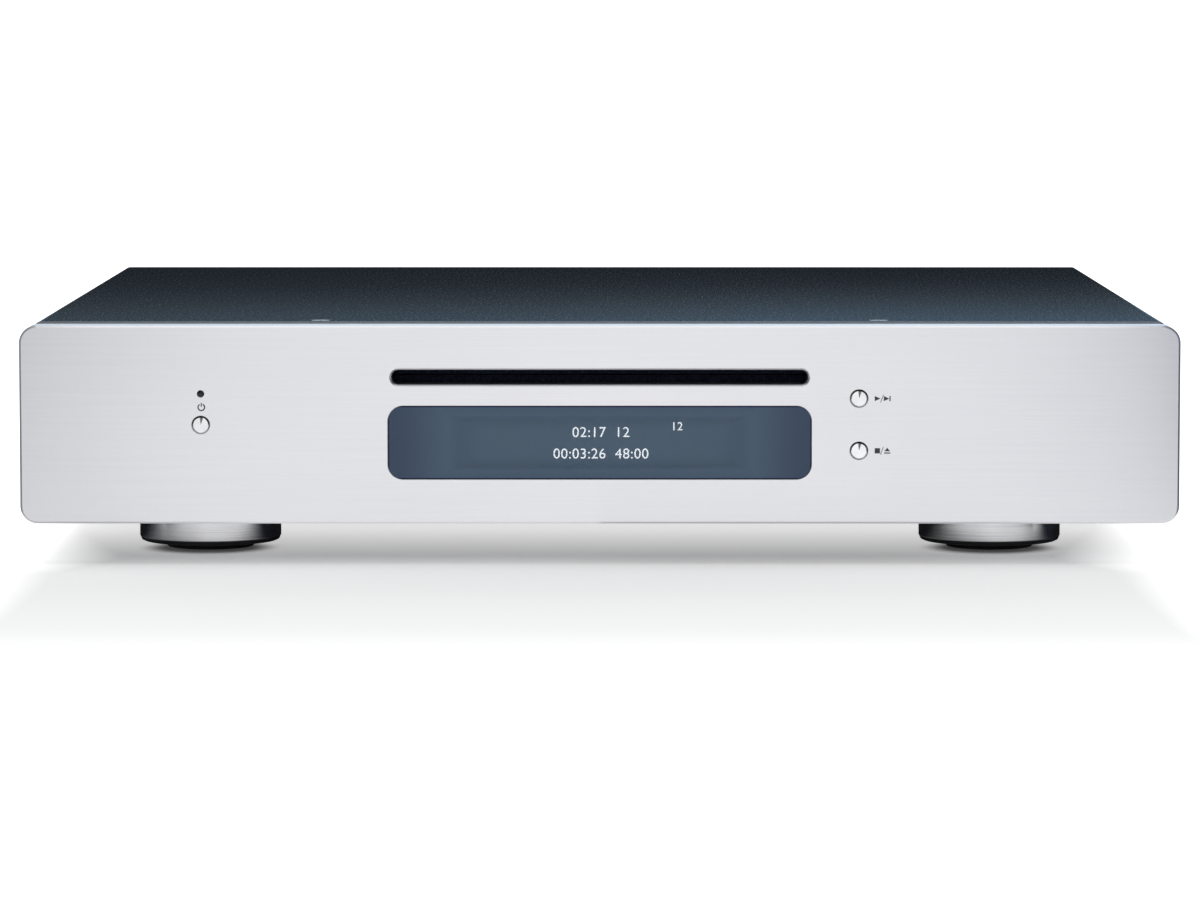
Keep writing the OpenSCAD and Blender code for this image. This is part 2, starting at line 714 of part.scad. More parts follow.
module phono_block() {
    color("#1a1a1c") difference() {
        union() {
            box(phono_x[0] - 8, phono_x[2] + 8, rear_in - 10, rear_in, mb_top, phono_z[1] + 8);
            for (x = phono_x, z = phono_z) {
                translate([x, 0, z]) rod_y(5, rear_in - 1, collar_y);
                translate([x, 0, z]) rod_y(3.2, rear_in - 1, back - 1.2);
            }
        }
        for (x = phono_x, z = phono_z) {
            translate([x, 0, z]) rod_y(phono_bore, rear_in - 11, back);
        }
    }
}
module phono_shells() {
    color("#c9a94f") for (x = phono_x, z = phono_z) {
        translate([x, 0, z]) difference() {
            union() {
                rod_y(phono_r, collar_y, back - 0.4);
                translate([0, back, 0]) rotate([90, 0, 0])
                    cylinder(r1 = phono_r - 0.4, r2 = phono_r, h = 0.4);
            }
            rod_y(3.2 + press_gap, collar_y - 1, back + 1);
        }
    }
}
module video_socket() {
    z = mb_top + 3.1;
    color("#b8bcc0") translate([video_x, 0, z]) difference() {
        along_y(rear_out - 11, rear_out + 0.6) square([15, 6.2 - 0.4], center = true);
        along_y(rear_out - 9, rear_out + 1) square([14, 4.6], center = true);
    }
    color("#151517") translate([video_x, 0, z])
        along_y(rear_out - 9, rear_out - 0.6) square([11.5, 1], center = true);
}
module optical_socket() {
    z = mb_top + 5;
    color("#1a1a1c") translate([opt_x, 0, z]) difference() {
        along_y(rear_out - 13, rear_out + 1) square([10, 10], center = true);
        along_y(rear_out - 0.8, rear_out + 2) rounded(6.6, 6.6, 1);
    }
}

// ---- boards ----
module power_board() {
    color("#b98a45") difference() {
        box(pb_x0, pb_x1, bd_y0, bd_y1, mb_z, mb_top);
        for (x = [pb_x0 + 5, pb_x1 - 5], y = [bd_y0 + 5, bd_y1 - 5]) {
            translate([x, y, 0]) rod_z_(screw_r + screw_gap, mb_z - 1, mb_top + 1);
        }
    }
}
module transformer() {
    z = mb_top;
    color("#4a3a2a") translate([pb_x0 + 68, bd_y0 + 48, z]) union() {
        box(-19, 19, -15, 15, 3, 29);
        box(-14, 14, -20, 20, 0, 3.2);
        box(-14, 14, -20, 20, 5, 27);
    }
}
module power_capacitors() {
    color("#23344a") {
        for (y = [25, 51]) {
            translate([pb_x0 + 20, bd_y0 + y, 0]) rod_z_(11, mb_top, mb_top + 30);
        }
        for (x = [22, 10], y = [20, 34, 48]) {
            translate([pb_x1 - x, bd_y0 + y, 0]) rod_z_(5, mb_top, mb_top + 18);
        }
        translate([pb_x0 + 47, bd_y0 + 12, 0]) box(-12, 12, -6, 6, mb_top, mb_top + 14);
    }
}
module heatsink() {
    translate([pb_x1 - 36, bd_y0 + 20, mb_top]) {
        color("#2b2d30") union() {
            box(0, 4, 0, 40, 0, 30);
            for (i = [0:5]) {
                box(3.5, 8, 1 + i * 7.2, 2.6 + i * 7.2, 0, 30);
            }
        }
        color("#1a1a1c") for (y = [10, 30]) {
            box(-5, 0, y - 5, y + 5, 0, 18);
        }
    }
}
module main_board() {
    color("#1f5b3c") difference() {
        box(mb_x0, mb_x1, bd_y0, bd_y1, mb_z, mb_top);
        for (x = [mb_x0 + 5, mb_x1 - 5], y = [bd_y0 + 5, bd_y1 - 5]) {
            translate([x, y, 0]) rod_z_(screw_r + screw_gap, mb_z - 1, mb_top + 1);
        }
    }
}
module main_board_parts() {
    translate([mb_x1, bd_y0, mb_top]) {
        color("#1a1a1c") {
            box(-72, -54, 30, 40, 0, 1.2);
            box(-72, -54, 46, 56, 0, 1.2);
            for (x = [-42, -30]) {
                box(x, x + 6, 68, 78, 0, 2);
            }
        }
        color("#23344a") for (x = [-36, -22, -10], y = [22, 36, 50]) {
            translate([x, y, 0]) rod_z_(4, 0, 11);
        }
    }
    translate([mb_x0, bd_y0, mb_top]) {
        color("#1a1a1c") {
            box(32, 60, 30, 58, 0, 2.4);
            box(12, 22, 40, 48, 0, 2);
        }
        color("#e8e6dc") for (x = ffc_x) {
            box(x, x + ffc_w, ffc_y - bd_y0, ffc_y - bd_y0 + 5, 0, 5);
        }
        color("#b8bcc0") box(34, 45, 64, 68.5, 0, 3.5);
    }
}
module board_standoffs() {
    color("#b8bcc0") {
        for (p = rear_board_at) {
            translate([p[0], p[1], 0]) difference() {
                union() {
                    cylinder_hex(3, base_top, mb_z);
                    rod_z_(screw_r, base_z, base_top + 1);
                }
                rod_z_(screw_r + screw_gap, mb_z - 4, mb_z + 1);
            }
        }
        for (p = fboard_screw_at) {
            translate([p[0], 0, p[1]]) difference() {
                rod_y(2.75, sub_y, fboard_y);
                rod_y(m25_r + screw_gap, sub_y - 1, fboard_y + 1);
            }
        }
    }
}
module cylinder_hex(r, z0, z1) {
    translate([0, 0, z0]) cylinder(r = r, h = z1 - z0, $fn = 6);
}
module board_screws() {
    color("#9a9da1") {
        for (p = rear_board_at) {
            translate([p[0], p[1], mb_top]) pan_screw(screw_r, head_r, 1.7, board_t + 3);
        }
        for (p = fboard_screw_at) {
            translate([p[0], fboard_y + board_t, p[1]]) rotate([-90, 0, 0])
                pan_screw(m25_r, 2.3, 1.5, board_t + 7.4 + sheet_t);
        }
        for (p = loader_foot_at) {
            translate([p[0], p[1], base_top + sheet_t])
                pan_screw(screw_r, head_r, 1.7, 2 * sheet_t);
        }
        for (p = damper_at) {
            translate([p[0], p[1], tf_top + 2]) pan_screw(screw_r, head_r, 1.7, tf_top + 2 - lf_ftop - 3);
        }
        for (p = top_screw_at) {
            translate([p[0], p[1], lf_top + sheet_t]) pan_screw(screw_r, head_r, 1.6, sheet_t * 2);
        }
    }
}
module ribbon(x0, x1, pts) {
    t = 0.35;
    n = len(pts);
    along_x(x0, x1) polygon(concat(pts, [for (i = [n - 1:-1:0]) pts[i] + [t * 0.6, t]]));
}
module ribbon_cables() {
    color("#dcdcd4") {
        x0 = mb_x0 + ffc_x[0] + 1;
        x1 = mb_x0 + ffc_x[1] + 1;
        end = [ffc_y - 0.25, mb_top + 2.5];
        ribbon(x1, x1 + ffc_w - 2, [[fboard_y + board_t, base_top + 7.8], [fboard_y + 6, base_top + 1],
            [lf_rear + 6, base_top + 1], [bd_y0 - 3, mb_top + 2.5], end]);
        ribbon(x0, x0 + ffc_w - 2, [[tf_rear - 4, tf_z - 0.6], [lf_rear + 3, lf_floor + 4],
            [lf_rear + 7, mb_top + 2.5], end]);
    }
}

// ---- slot loader ----
damper_at = [for (x = [-damp_x, damp_x], y = damp_y) [x, y]];
top_screw_at = [for (x = [-lf_in + 4.5, lf_in - 4.5], y = [lf_front + 4, lf_rear - 5]) [x, y]];
module loader_side(s) {
    x0 = s > 0 ? lf_in : -lf_out;
    w = sheet_t;
    difference() {
        box(x0, x0 + w, lf_front, lf_rear, base_top, lf_top);
        box(x0 - 1, x0 + w + 1, lf_front + 12, lf_rear - 12, base_top - 1, lf_floor - 2);
    }
    for (y = [lf_front, lf_rear - 12]) {
        box(s > 0 ? lf_in : -lf_out - 10, s > 0 ? lf_out + 10 : -lf_in, y, y + 12,
            base_top, base_top + sheet_t);
    }
    for (y = [lf_front, lf_rear - 9]) {
        box(s > 0 ? lf_in - 9 : -lf_in - 0.5, s > 0 ? lf_in + 0.5 : -lf_in + 9, y, y + 8,
            lf_top - sheet_t, lf_top);
    }
}
module loader_frame() {
    color("#9aa0a6") difference() {
        union() {
            loader_side(-1);
            loader_side(1);
            box(-lf_in - 0.5, lf_in + 0.5, lf_front, lf_rear, lf_floor, lf_ftop);
            box(mot_x, mot_x + sheet_t, mot_y - 9, mot_y + 9, lf_floor + 0.5, mot_z + 7);
            box(cmot_x - sheet_t, cmot_x, pinion_y - 9, pinion_y + 9, lf_floor + 0.5, pinion_z + 7.3);
            for (p = damper_at) {
                translate([p[0], p[1], 0]) rod_z_(3.2, lf_floor + 0.5, tf_z - 4);
            }
            translate([0, pg_y, pg_z]) rod_x_(pin_r, gear_x - 0.6, lf_in + 0.5);
            translate([0, guide_y, guide_z]) rod_x_(pin_r, -lf_in - 0.5, cam_x + cam_t + 0.7);
        }
        for (s = [-1, 1]) {
            translate([0, piv_y, piv_z]) rod_x_(piv_r + running_gap,
                s > 0 ? lf_in - 1 : -lf_out - 1, s > 0 ? lf_out + 1 : -lf_in + 1);
        }
        translate([0, mot_y, mot_z]) rod_x_(3.3, mot_x - 2, mot_x + 3);
        translate([0, pinion_y, pinion_z]) rod_x_(3.3, cmot_x - 3, cmot_x + 2);
        for (p = damper_at) {
            translate([p[0], p[1], 0]) rod_z_(screw_r + screw_gap, lf_floor - 1, tf_z);
        }
        for (p = concat(loader_foot_at, top_screw_at)) {
            translate([p[0], p[1], 0]) rod_z_(screw_r + screw_gap, base_top - 1, lf_floor - 4);
            translate([p[0], p[1], 0]) rod_z_(screw_r + screw_gap, lf_top - 2, lf_top + 1);
        }
        box(-28, 28, tf_front + 6, tf_rear - 12, lf_floor - 1, lf_ftop + 1);
        box(mb_x0 + ffc_x[0] - 3, mb_x0 + ffc_x[0] + ffc_w + 3, lf_rear - 9, lf_rear + 1, lf_floor - 1,
            lf_ftop + 1);
        for (y = [34, 50, 114]) {
            translate([0, lf_front + y, 0]) along_x(-lf_out - 1, lf_out + 1)
                rounded_at(8, 10, slot_z - 0.7);
        }
    }
}
module rounded_at(w, h, z) {
    translate([0, z]) rounded(w, h, 2);
}
ear_x = 19;
module loader_top_plate() {
    color("#9aa0a6") difference() {
        union() {
            box(-lf_out, lf_out, lf_front, lf_rear, lf_top, lf_top + sheet_t);
            for (s = [-1, 1]) {
                box(s * ear_x + (s > 0 ? 0 : -sheet_t), s * ear_x + (s > 0 ? sheet_t : 0),
                    hinge_y - 5, hinge_y + 5, hinge_z - 4, lf_top + 0.5);
            }
        }
        translate([0, spin_y - 4, lf_top - 1]) linear_extrude(4) rounded(60, 56, 8);
        translate([-52, spin_y - 4, lf_top - 1]) linear_extrude(4) rounded(30, 30, 5);
        translate([52, spin_y - 4, lf_top - 1]) linear_extrude(4) rounded(30, 60, 8);
        translate([0, hinge_y, hinge_z])
            rod_x_(pin_r + running_gap, -ear_x - 3, ear_x + 3);
        for (p = top_screw_at) {
            translate([p[0], p[1], 0]) rod_z_(screw_r + screw_gap, lf_top - 1, lf_top + 2);
        }
        for (x = [-50, 50]) {
            translate([x, lf_front + 10, 0]) rod_z_(1.6, lf_top - 1, lf_top + 2);
        }
    }
}
module disc_guide() {
    z = slot_z + 1.3;
    w = slot_w / 2 - 0.8;
    y = lf_front + 10;
    color("#202224") union() {
        box(-w, w, y - 6, y + 6, z, z + 1.6);
        box(-w, w, y - 1, y + 1, z + 1, lf_top);
        for (x = [-w, -30, 28, w - 2]) {
            box(x, x + 2, y - 6, y + 6, z + 1, lf_top);
        }
        for (x = [-50, 50]) {
            translate([x, y, 0]) rod_z_(3, z + 1, lf_top);
            translate([x, y, 0]) rod_z_(1.5, lf_top - 1, lf_top + sheet_t + 0.6);
        }
    }
}
module bracket_arm() {
    difference() {
        union() {
            along_x(arm_x, arm_x + arm_t) {
                union() {
                    translate([piv_y, piv_z]) circle(r = 4.2);
                    translate([roll_y, roll_z]) circle(r = 4);
                    translate([piv_y, piv_z]) rotate(atan2(roll_z - piv_z, roll_y - piv_y))
                        translate([0, -3.2]) square([norm([roll_z - piv_z, roll_y - piv_y]), 6.4]);
                }
            }
        }
        translate([0, roll_y, roll_z])
            rod_x_(shaft_r + running_gap, arm_x - 1, arm_x + arm_t + 1);
    }
}
module roller_bracket() {
    color("#2b2d30") union() {
        bracket_arm();
        mirror([1, 0, 0]) bracket_arm();
        box(-arm_x - 0.5, arm_x + 0.5, piv_y - 3.5, piv_y + 2, piv_z - 3.4, piv_z - 0.6);
        translate([0, piv_y, piv_z]) {
            rod_x_(piv_r, arm_x + 1, lf_out + 0.3);
            rod_x_(piv_r, -lf_out - 0.3, -arm_x - 1);
        }
        translate([0, pin_y, pin_z]) rod_x_(pin_r, cam_x - 0.1, -arm_x - 1);
        translate([0, pin_y, pin_z]) rod_x_(3, -arm_x - arm_t, -arm_x);
    }
}
module roller_shaft() {
    color("#c9ccd2") translate([0, roll_y, roll_z])
        rod_x_(shaft_r, -arm_x - arm_t - 1.2, gear_x + gear_w + 0.3);
}
module roller_sleeves() {
    color("#1a1a1c") for (s = [0, 1]) {
        mirror([s, 0, 0]) translate([0, roll_y, roll_z]) difference() {
            translate([4, 0, 0]) rotate([0, 90, 0])
                cylinder(r1 = roll_r - 0.9, r2 = roll_r, h = arm_x - 8.5);
            rod_x_(shaft_r + press_gap, 0, arm_x + 5);
        }
    }
}
module roller_gear() {
    color("#e6e2d6") translate([0, roll_y, roll_z]) difference() {
        along_x(gear_x, gear_x + gear_w) rotate(gear_a) gear_2d(gear_n, gear_m);
        rod_x_(shaft_r + press_gap, gear_x - 1, gear_x + gear_w + 1);
    }
}
module flat_motor(x0, x1) {
    intersection() {
        rod_x_(7.7, x0, x1);
        box(x0, x1, -8, 8, -6, 6);
    }
}
module loading_motor() {
    color("#b8bcc0") translate([0, mot_y, mot_z]) difference() {
        union() {
            flat_motor(mot_x - 22.2, mot_x);
            rod_x_(3, mot_x - 0.2, mot_x + 1.4);
            rod_x_(2.5, mot_x - 23.4, mot_x - 21.7);
        }
        rod_x_(1 + running_gap, mot_x - 4.2, mot_x + 1.8);
    }
}
module pulley(x0, w, root, bore) {
    difference() {
        union() {
            rod_x_(root, x0, x0 + w);
            rod_x_(root + 1.5, x0, x0 + 0.6);
            rod_x_(root + 1.5, x0 + w - 0.6, x0 + w);
        }
        rod_x_(bore, x0 - 1, x0 + w + 1);
    }
}
module motor_pulley() {
    color("#e6e2d6") translate([0, mot_y, mot_z]) union() {
        pulley(pul_x, pul_w, mot_root, 0.9);
        rod_x_(1, mot_x - 3.2, pul_x + pul_w);
    }
}
module pulley_gear() {
    color("#e6e2d6") translate([0, pg_y, pg_z]) difference() {
        union() {
            pulley(pul_x, pul_w, pul_root, pin_r + running_gap);
            along_x(gear_x, gear_x + gear_w) rotate(gear_a + 180 + 180 / gear_n)
                gear_2d(gear_n, gear_m);
            rod_x_(3, gear_x + gear_w - 0.5, pul_x + 0.5);
        }
        rod_x_(pin_r + running_gap, gear_x - 1, pul_x + pul_w + 1);
    }
}
module loading_belt() {
    a = [mot_y, mot_z];
    b = [pg_y, pg_z];
    ra = mot_root + free_gap;
    rb = pul_root + free_gap;
    color("#141415") along_x(pul_x + 0.9, pul_x + pul_w - 0.9) difference() {
        hull() {
            translate(a) circle(r = ra + belt_t, $fn = 36);
            translate(b) circle(r = rb + belt_t, $fn = 36);
        }
        hull() {
            translate(a) circle(r = ra, $fn = 36);
            translate(b) circle(r = rb, $fn = 36);
        }
    }
}
module cam_slide() {
    g = 0.35;
    rest_wing = [hinge_y - (hinge_y - wing_y) * cos(clamp_swing),
        hinge_z + (hinge_y - wing_y) * sin(clamp_swing)];
    bp = [pin_y - piv_y, pin_z - piv_z];
    bp_end = [piv_y + bp[0] * cos(roller_swing) - bp[1] * sin(roller_swing) - cam_travel,
        piv_z + bp[0] * sin(roller_swing) + bp[1] * cos(roller_swing)];
    rack_p = PI * rack_m;
    tab_z = slot_z + 8.3;
    color("#e9e7df") along_x(cam_x, cam_x + cam_t) difference() {
        union() {
            translate([lf_front, 0]) polygon([[6.5, cam_low], [45, cam_low], [48, rack_z + 0.9],
                [98, rack_z + 0.9], [98, cam_high], [94, cam_high], [94, tab_z - 1],
                [92, tab_z], [73, tab_z], [72, tab_z - 1], [72, cam_high], [6.5, cam_high]]);
            for (k = [-6:1]) {
                translate([pinion_y + (k + 0.5) * rack_p, rack_z]) polygon([[-0.86 * rack_m, 1.3],
                    [-0.5 * rack_m, 0], [-0.28 * rack_m, -0.85 * rack_m],
                    [0.28 * rack_m, -0.85 * rack_m], [0.5 * rack_m, 0], [0.86 * rack_m, 1.3]]);
            }
        }
        slot_2d([pin_y, pin_z], bp_end, pin_r + g, 0.04);
        slot_2d([piv_y, piv_z], [piv_y - cam_travel, piv_z], piv_r + g);
        slot_2d([guide_y, guide_z], [guide_y - cam_travel, guide_z], pin_r + g);
        slot_2d(rest_wing, [wing_y - cam_travel, hinge_z], pin_r + g, 0.04);
    }
}
module clamp_motor() {
    color("#b8bcc0") translate([0, pinion_y, pinion_z]) difference() {
        union() {
            flat_motor(cmot_x, cmot_x + 20);
            rod_x_(3, cmot_x - 1.4, cmot_x + 0.5);
        }
        rod_x_(1 + running_gap, cmot_x - 2, cmot_x + 4);
    }
}
module clamp_pinion() {
    color("#e6e2d6") translate([0, pinion_y, pinion_z]) union() {
        difference() {
            along_x(cam_x, cam_x + cam_t) rotate(90) gear_2d(pinion_n, rack_m);
            rod_x_(0.9, cam_x - 1, cam_x + cam_t + 1);
        }
        rod_x_(1, cam_x, cmot_x + 3);
    }
}
module traverse_frame() {
    block_z = rod_z + 3;
    color("#34373a") difference() {
        union() {
            box(-tf_w, tf_w, tf_front, tf_rear, tf_z, tf_top);
            for (y = [rod_y0, rod_y1 - 3]) {
                box(rod_x[0] - 3.5, rod_x[0] + 3.5, y, y + 3, tf_top - 0.5, block_z);
                box(rod_x[1] - 3.5, screw_x + 3.5, y, y + 3, tf_top - 0.5, block_z);
            }
            for (s = [-1, 1]) {
                box(s > 0 ? tf_w - 1.5 : -tf_w, s > 0 ? tf_w : -tf_w + 1.5,
                    tf_front, tf_rear, tf_z - 3, tf_top);
            }
        }
        box(-15, screw_x + 3.5, rod_y0 + 3, rod_y1 - 3, tf_z - 1, tf_top + 1);
        box(screw_x - 6.4, screw_x + 6.4, rod_y0 - 20.5, rod_y0 - 0.01, tf_z - 1, tf_top + 1);
        translate([0, spin_y, 0]) rod_z_(4.5, tf_z - 1, tf_top + 1);
        for (p = damper_at) {
            translate([p[0], p[1], 0]) rod_z_(3.5, tf_z - 1, tf_top + 1);
        }
        for (x = rod_x) {
            translate([x, 0, rod_z]) rod_y(rod_r + press_gap, rod_y0 - 1, rod_y1 + 1);
        }
        translate([screw_x, 0, lead_z]) rod_y(lead_r + running_gap, rod_y0 - 1, rod_y1 + 1);
    }
}
module traverse_dampers() {
    color("#1b1b1c") for (p = damper_at) {
        translate([p[0], p[1], 0]) difference() {
            union() {
                rod_z_(5, tf_z - 4, tf_z);
                rod_z_(3.4, tf_z - 1, tf_top + 1);
                rod_z_(5, tf_top, tf_top + 2);
            }
            rod_z_(screw_r + screw_gap, tf_z - 5, tf_top + 3);
        }
    }
}
module guide_rods() {
    color("#d5d8dc") for (x = rod_x) {
        translate([x, 0, rod_z]) rod_y(rod_r, rod_y0 - 0.5, rod_y1 + 0.5);
    }
}
module optical_pickup() {
    z0 = tf_z - 0.4;
    z1 = rod_z + 3.3;
    y0 = lens_y - 9.4;
    y1 = lens_y + 9.4;
    color("#55585c") difference() {
        union() {
            box(-14, 15.5, y0, y1, z0, z1);
            box(rod_x[0] - 3, -13, y0, y1, tf_top + 0.4, z1);
            box(15, rod_x[1] + 3, lens_y - 5, lens_y + 5, tf_top + 0.4, z1);
            box(rod_x[1] + 2, screw_x - 2 - free_gap, lens_y - 3, lens_y + 3, tf_top + 0.5, rod_z + 1);
        }
        translate([rod_x[0], 0, rod_z]) rod_y(rod_r + running_gap, y0 - 1, y1 + 1);
        translate([rod_x[1], 0, rod_z]) rod_y(rod_r + 2 * running_gap, y0 - 1, y1 + 1);
        translate([0, lens_y, 0]) rod_z_(4.6, z1 - 2.2, z1 + 1);
        box(-12, 12, lens_y + 5.6, lens_y + 8, z1 - 0.6, z1 + 1);
    }
    color("#9fc4d8") translate([0, lens_y, z1 - 2.2]) intersection() {
        rod_z_(3.4, 0, 2.4);
        translate([0, 0, -3.6]) sphere(r = 6);
    }
}
module leadscrew() {
    color("#c9ccd2") translate([screw_x, 0, lead_z]) union() {
        rod_y(lead_r, rod_y0 - 14, rod_y1 + 0.5);
        rod_y(2, rod_y0 + 3.5, rod_y1 - 3.5);
    }
}
module sled_motor() {
    color("#b8bcc0") translate([screw_x, 0, lead_z]) difference() {
        rod_y(6, rod_y0 - 20, rod_y0);
        rod_y(lead_r + running_gap, rod_y0 - 15, rod_y0 + 1);
    }
}
module spindle_motor() {
    color("#b8bcc0") translate([0, spin_y, 0]) difference() {
        union() {
            rod_z_(13, tf_z - 7, tf_z);
            rod_z_(4.3, tf_z - 1, tf_top + 0.4);
        }
        rod_z_(shaft_r + running_gap, tf_z - 5.5, tf_top + 1);
    }
}
module turntable() {
    color("#2b2d30") translate([0, spin_y, 0]) union() {
        rod_z_(shaft_r, tf_z - 5, seat_z);
        rod_z_(5, tf_top + 1, seat_z - 1);
        rod_z_(13, seat_z - 1.6, seat_z);
        translate([0, 0, seat_z - 0.5]) cylinder(r1 = 7.4, r2 = 6.4, h = 2.6);
    }
}
module level_to_rest() {
    translate([0, hinge_y, hinge_z]) rotate([-clamp_swing, 0, 0])
        translate([0, -hinge_y, -hinge_z]) children();
}
module clamp_arm() {
    z0 = puck_z + 2.3;
    z1 = z0 + 1.6;
    color("#34373a") level_to_rest() difference() {
        union() {
            box(-12, 12, spin_y - 15, hinge_y - 2.5, z0, z1);
            box(-17.5, 17.5, hinge_y - 8, hinge_y - 2.5, z0, z1);
            for (s = [-1, 1]) {
                box(s > 0 ? 12 : -17.5, s > 0 ? 17.5 : -12, hinge_y - 8, hinge_y, z0, z1);
            }
            translate([0, hinge_y, hinge_z]) rod_x_(2.6, -17.5, 17.5);
            translate([0, hinge_y, hinge_z]) rod_x_(pin_r, -ear_x - sheet_t, ear_x + sheet_t);
            box(cam_x + 5.5, -11, wing_y - 4, wing_y + 4, z0, z1);
            translate([0, wing_y, hinge_z]) rod_x_(2.6, cam_x + 3.5, cam_x + 9.5);
            translate([0, wing_y, hinge_z]) rod_x_(pin_r, cam_x - 0.1, cam_x + 7.5);
        }
        translate([0, spin_y, 0]) rod_z_(4.2, z0 - 1, z1 + 1);
    }
}
module clamp_puck() {
    z0 = puck_z + 2.3;
    color("#d9d6cc") level_to_rest() translate([0, spin_y, 0]) difference() {
        union() {
            rod_z_(puck_r, puck_z, puck_z + 2);
            rod_z_(3.8, puck_z + 1, z0 + 2.6);
            rod_z_(6, z0 + 1.9, z0 + 2.9);
        }
        rod_z_(8.2, puck_z - 1, puck_z + 1.4);
    }
}

front_panel();
display_window();
display_module();
front_board();
front_subframe();
standby_button();
play_button();
stop_button();
switch_bodies();
light_pipe();
slot_frame();
dust_lips();
top_cover();
case_screws();
chassis_tray();
rear_panel();
feet();
foot_pads();
foot_screws();
mains_inlet();
inlet_pins();
mains_switch();
mains_rocker();
phono_block();
phono_shells();
video_socket();
optical_socket();
power_board();
transformer();
power_capacitors();
heatsink();
main_board();
main_board_parts();
board_standoffs();
board_screws();
loader_frame();
loader_top_plate();
disc_guide();
roller_bracket();
roller_shaft();
roller_sleeves();
roller_gear();
loading_motor();
motor_pulley();
loading_belt();
pulley_gear();
cam_slide();
clamp_motor();
clamp_pinion();
traverse_frame();
traverse_dampers();
guide_rods();
optical_pickup();
leadscrew();
sled_motor();
spindle_motor();
turntable();
clamp_arm();
clamp_puck();
ribbon_cables();
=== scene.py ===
import json
import math

import bmesh
import bpy
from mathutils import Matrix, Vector


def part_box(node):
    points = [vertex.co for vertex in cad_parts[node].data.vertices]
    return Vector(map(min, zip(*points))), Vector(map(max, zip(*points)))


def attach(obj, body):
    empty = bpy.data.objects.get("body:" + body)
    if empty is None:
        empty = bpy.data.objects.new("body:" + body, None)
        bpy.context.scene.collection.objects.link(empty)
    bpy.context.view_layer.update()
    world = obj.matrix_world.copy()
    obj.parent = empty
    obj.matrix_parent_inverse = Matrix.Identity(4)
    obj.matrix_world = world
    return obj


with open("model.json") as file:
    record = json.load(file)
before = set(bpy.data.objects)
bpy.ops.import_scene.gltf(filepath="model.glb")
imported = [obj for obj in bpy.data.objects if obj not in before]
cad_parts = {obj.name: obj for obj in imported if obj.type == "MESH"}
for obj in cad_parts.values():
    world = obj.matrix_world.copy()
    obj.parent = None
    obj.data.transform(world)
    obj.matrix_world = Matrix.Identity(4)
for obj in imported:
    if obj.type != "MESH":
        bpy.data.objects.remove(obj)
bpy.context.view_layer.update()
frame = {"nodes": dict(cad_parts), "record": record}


# ---- Camera ----
# A long lens a little above the unit, square to the front panel. The long side of the picture
# holds the 350 mm panel with a narrow margin. Here and below, places are in millimetres.
MM = 0.001
scene = bpy.context.scene
scene.view_settings.view_transform = "Standard"
eye = Vector((2.2, -1785.0, 176.8)) * MM
aim = Vector((0.1, -165.0, 34.75)) * MM
camera = bpy.data.objects.new("camera", bpy.data.cameras.new("camera"))
camera.data.sensor_width = 36.0
camera.data.lens = 161.75
camera.location = eye
camera.rotation_euler = (aim - eye).to_track_quat("-Z", "Y").to_euler()
scene.collection.objects.link(camera)
scene.camera = camera


# ---- Studio room and lamp ----
# A large soft lamp overhead, in a room that is bright in front and dark to the sides and behind,
# so that plated feet get dark edges and the painted cover stays dark. The eye sees it white.
def srgb(value):
    """A colour from a colour chart, as linear light."""
    parts = [int(value[i:i + 2], 16) / 255 for i in (1, 3, 5)]
    return [p / 12.92 if p <= 0.04045 else ((p + 0.055) / 1.055) ** 2.4 for p in parts] + [1.0]


def add(tree, kind, settings=None, links=None):
    """Adds a node with its settings, and links its inputs to (node, output) pairs."""
    made = tree.nodes.new(kind)
    for key, value in (settings or {}).items():
        if key == "stops":
            ramp = made.color_ramp
            while len(ramp.elements) < len(value):
                ramp.elements.new(0.5)
            for element, (place, colour) in zip(ramp.elements, value):
                element.position = place
                element.color = srgb(colour)
        elif isinstance(key, str) and hasattr(made, key):
            setattr(made, key, value)
        else:
            made.inputs[key].default_value = value
    for key, (source, output) in (links or {}).items():
        tree.links.new(source.outputs[output], made.inputs[key])
    return made


world = bpy.data.worlds.new("studio")
scene.world = world
world.use_nodes = True
room = world.node_tree
room.nodes.clear()
direction = add(room, "ShaderNodeTexCoord")
axes = add(room, "ShaderNodeSeparateXYZ", links={0: (direction, "Generated")})
across = add(room, "ShaderNodeMapRange", {"From Min": -1.0, "From Max": 1.0}, {"Value": (axes, "X")})
# The wall behind the camera, from left to right, is a bright gap between dark curtains. The wall
# behind the unit, from the floor up, turns from blue to grey.
front_wall = add(room, "ShaderNodeValToRGB", {"stops": [
    (0.20, "#08090a"), (0.32, "#303336"), (0.40, "#8d9093"), (0.445, "#c2c4c8"), (0.47, "#e4e4e8"),
    (0.50, "#f8f7f9"), (0.53, "#ecebf0"), (0.553, "#c6cedb"), (0.57, "#a6afbc"), (0.66, "#3b4046"),
    (0.80, "#08090a"),
]}, {"Fac": (across, "Result")})
back_tones = add(room, "ShaderNodeValToRGB", {"stops": [
    (0.0, "#7da9d4"), (0.30, "#8ab4da"), (0.50, "#a5bbcb"), (0.75, "#9a9ea2"), (1.0, "#9a9c9e"),
]}, {"Fac": (axes, "Z")})
BACK_LIGHT = (2.42, 2.5, 2.52, 1.0)
back_wall = add(room, "ShaderNodeMix", {
    "data_type": "RGBA", "blend_type": "MULTIPLY", "clamp_result": False, 0: 1.0, 7: BACK_LIGHT}, {
    6: (back_tones, "Color")})
behind = add(room, "ShaderNodeMapRange", {"From Min": 0.0, "From Max": 0.35}, {"Value": (axes, "Y")})
overhead = add(room, "ShaderNodeMapRange", {"From Min": 0.25, "From Max": 0.7}, {"Value": (axes, "Z")})
CEILING = (0.86, 0.87, 0.88, 1.0)
front_side = add(room, "ShaderNodeMix", {"data_type": "RGBA", 7: CEILING}, {
    0: (overhead, "Result"), 6: (front_wall, "Color")})
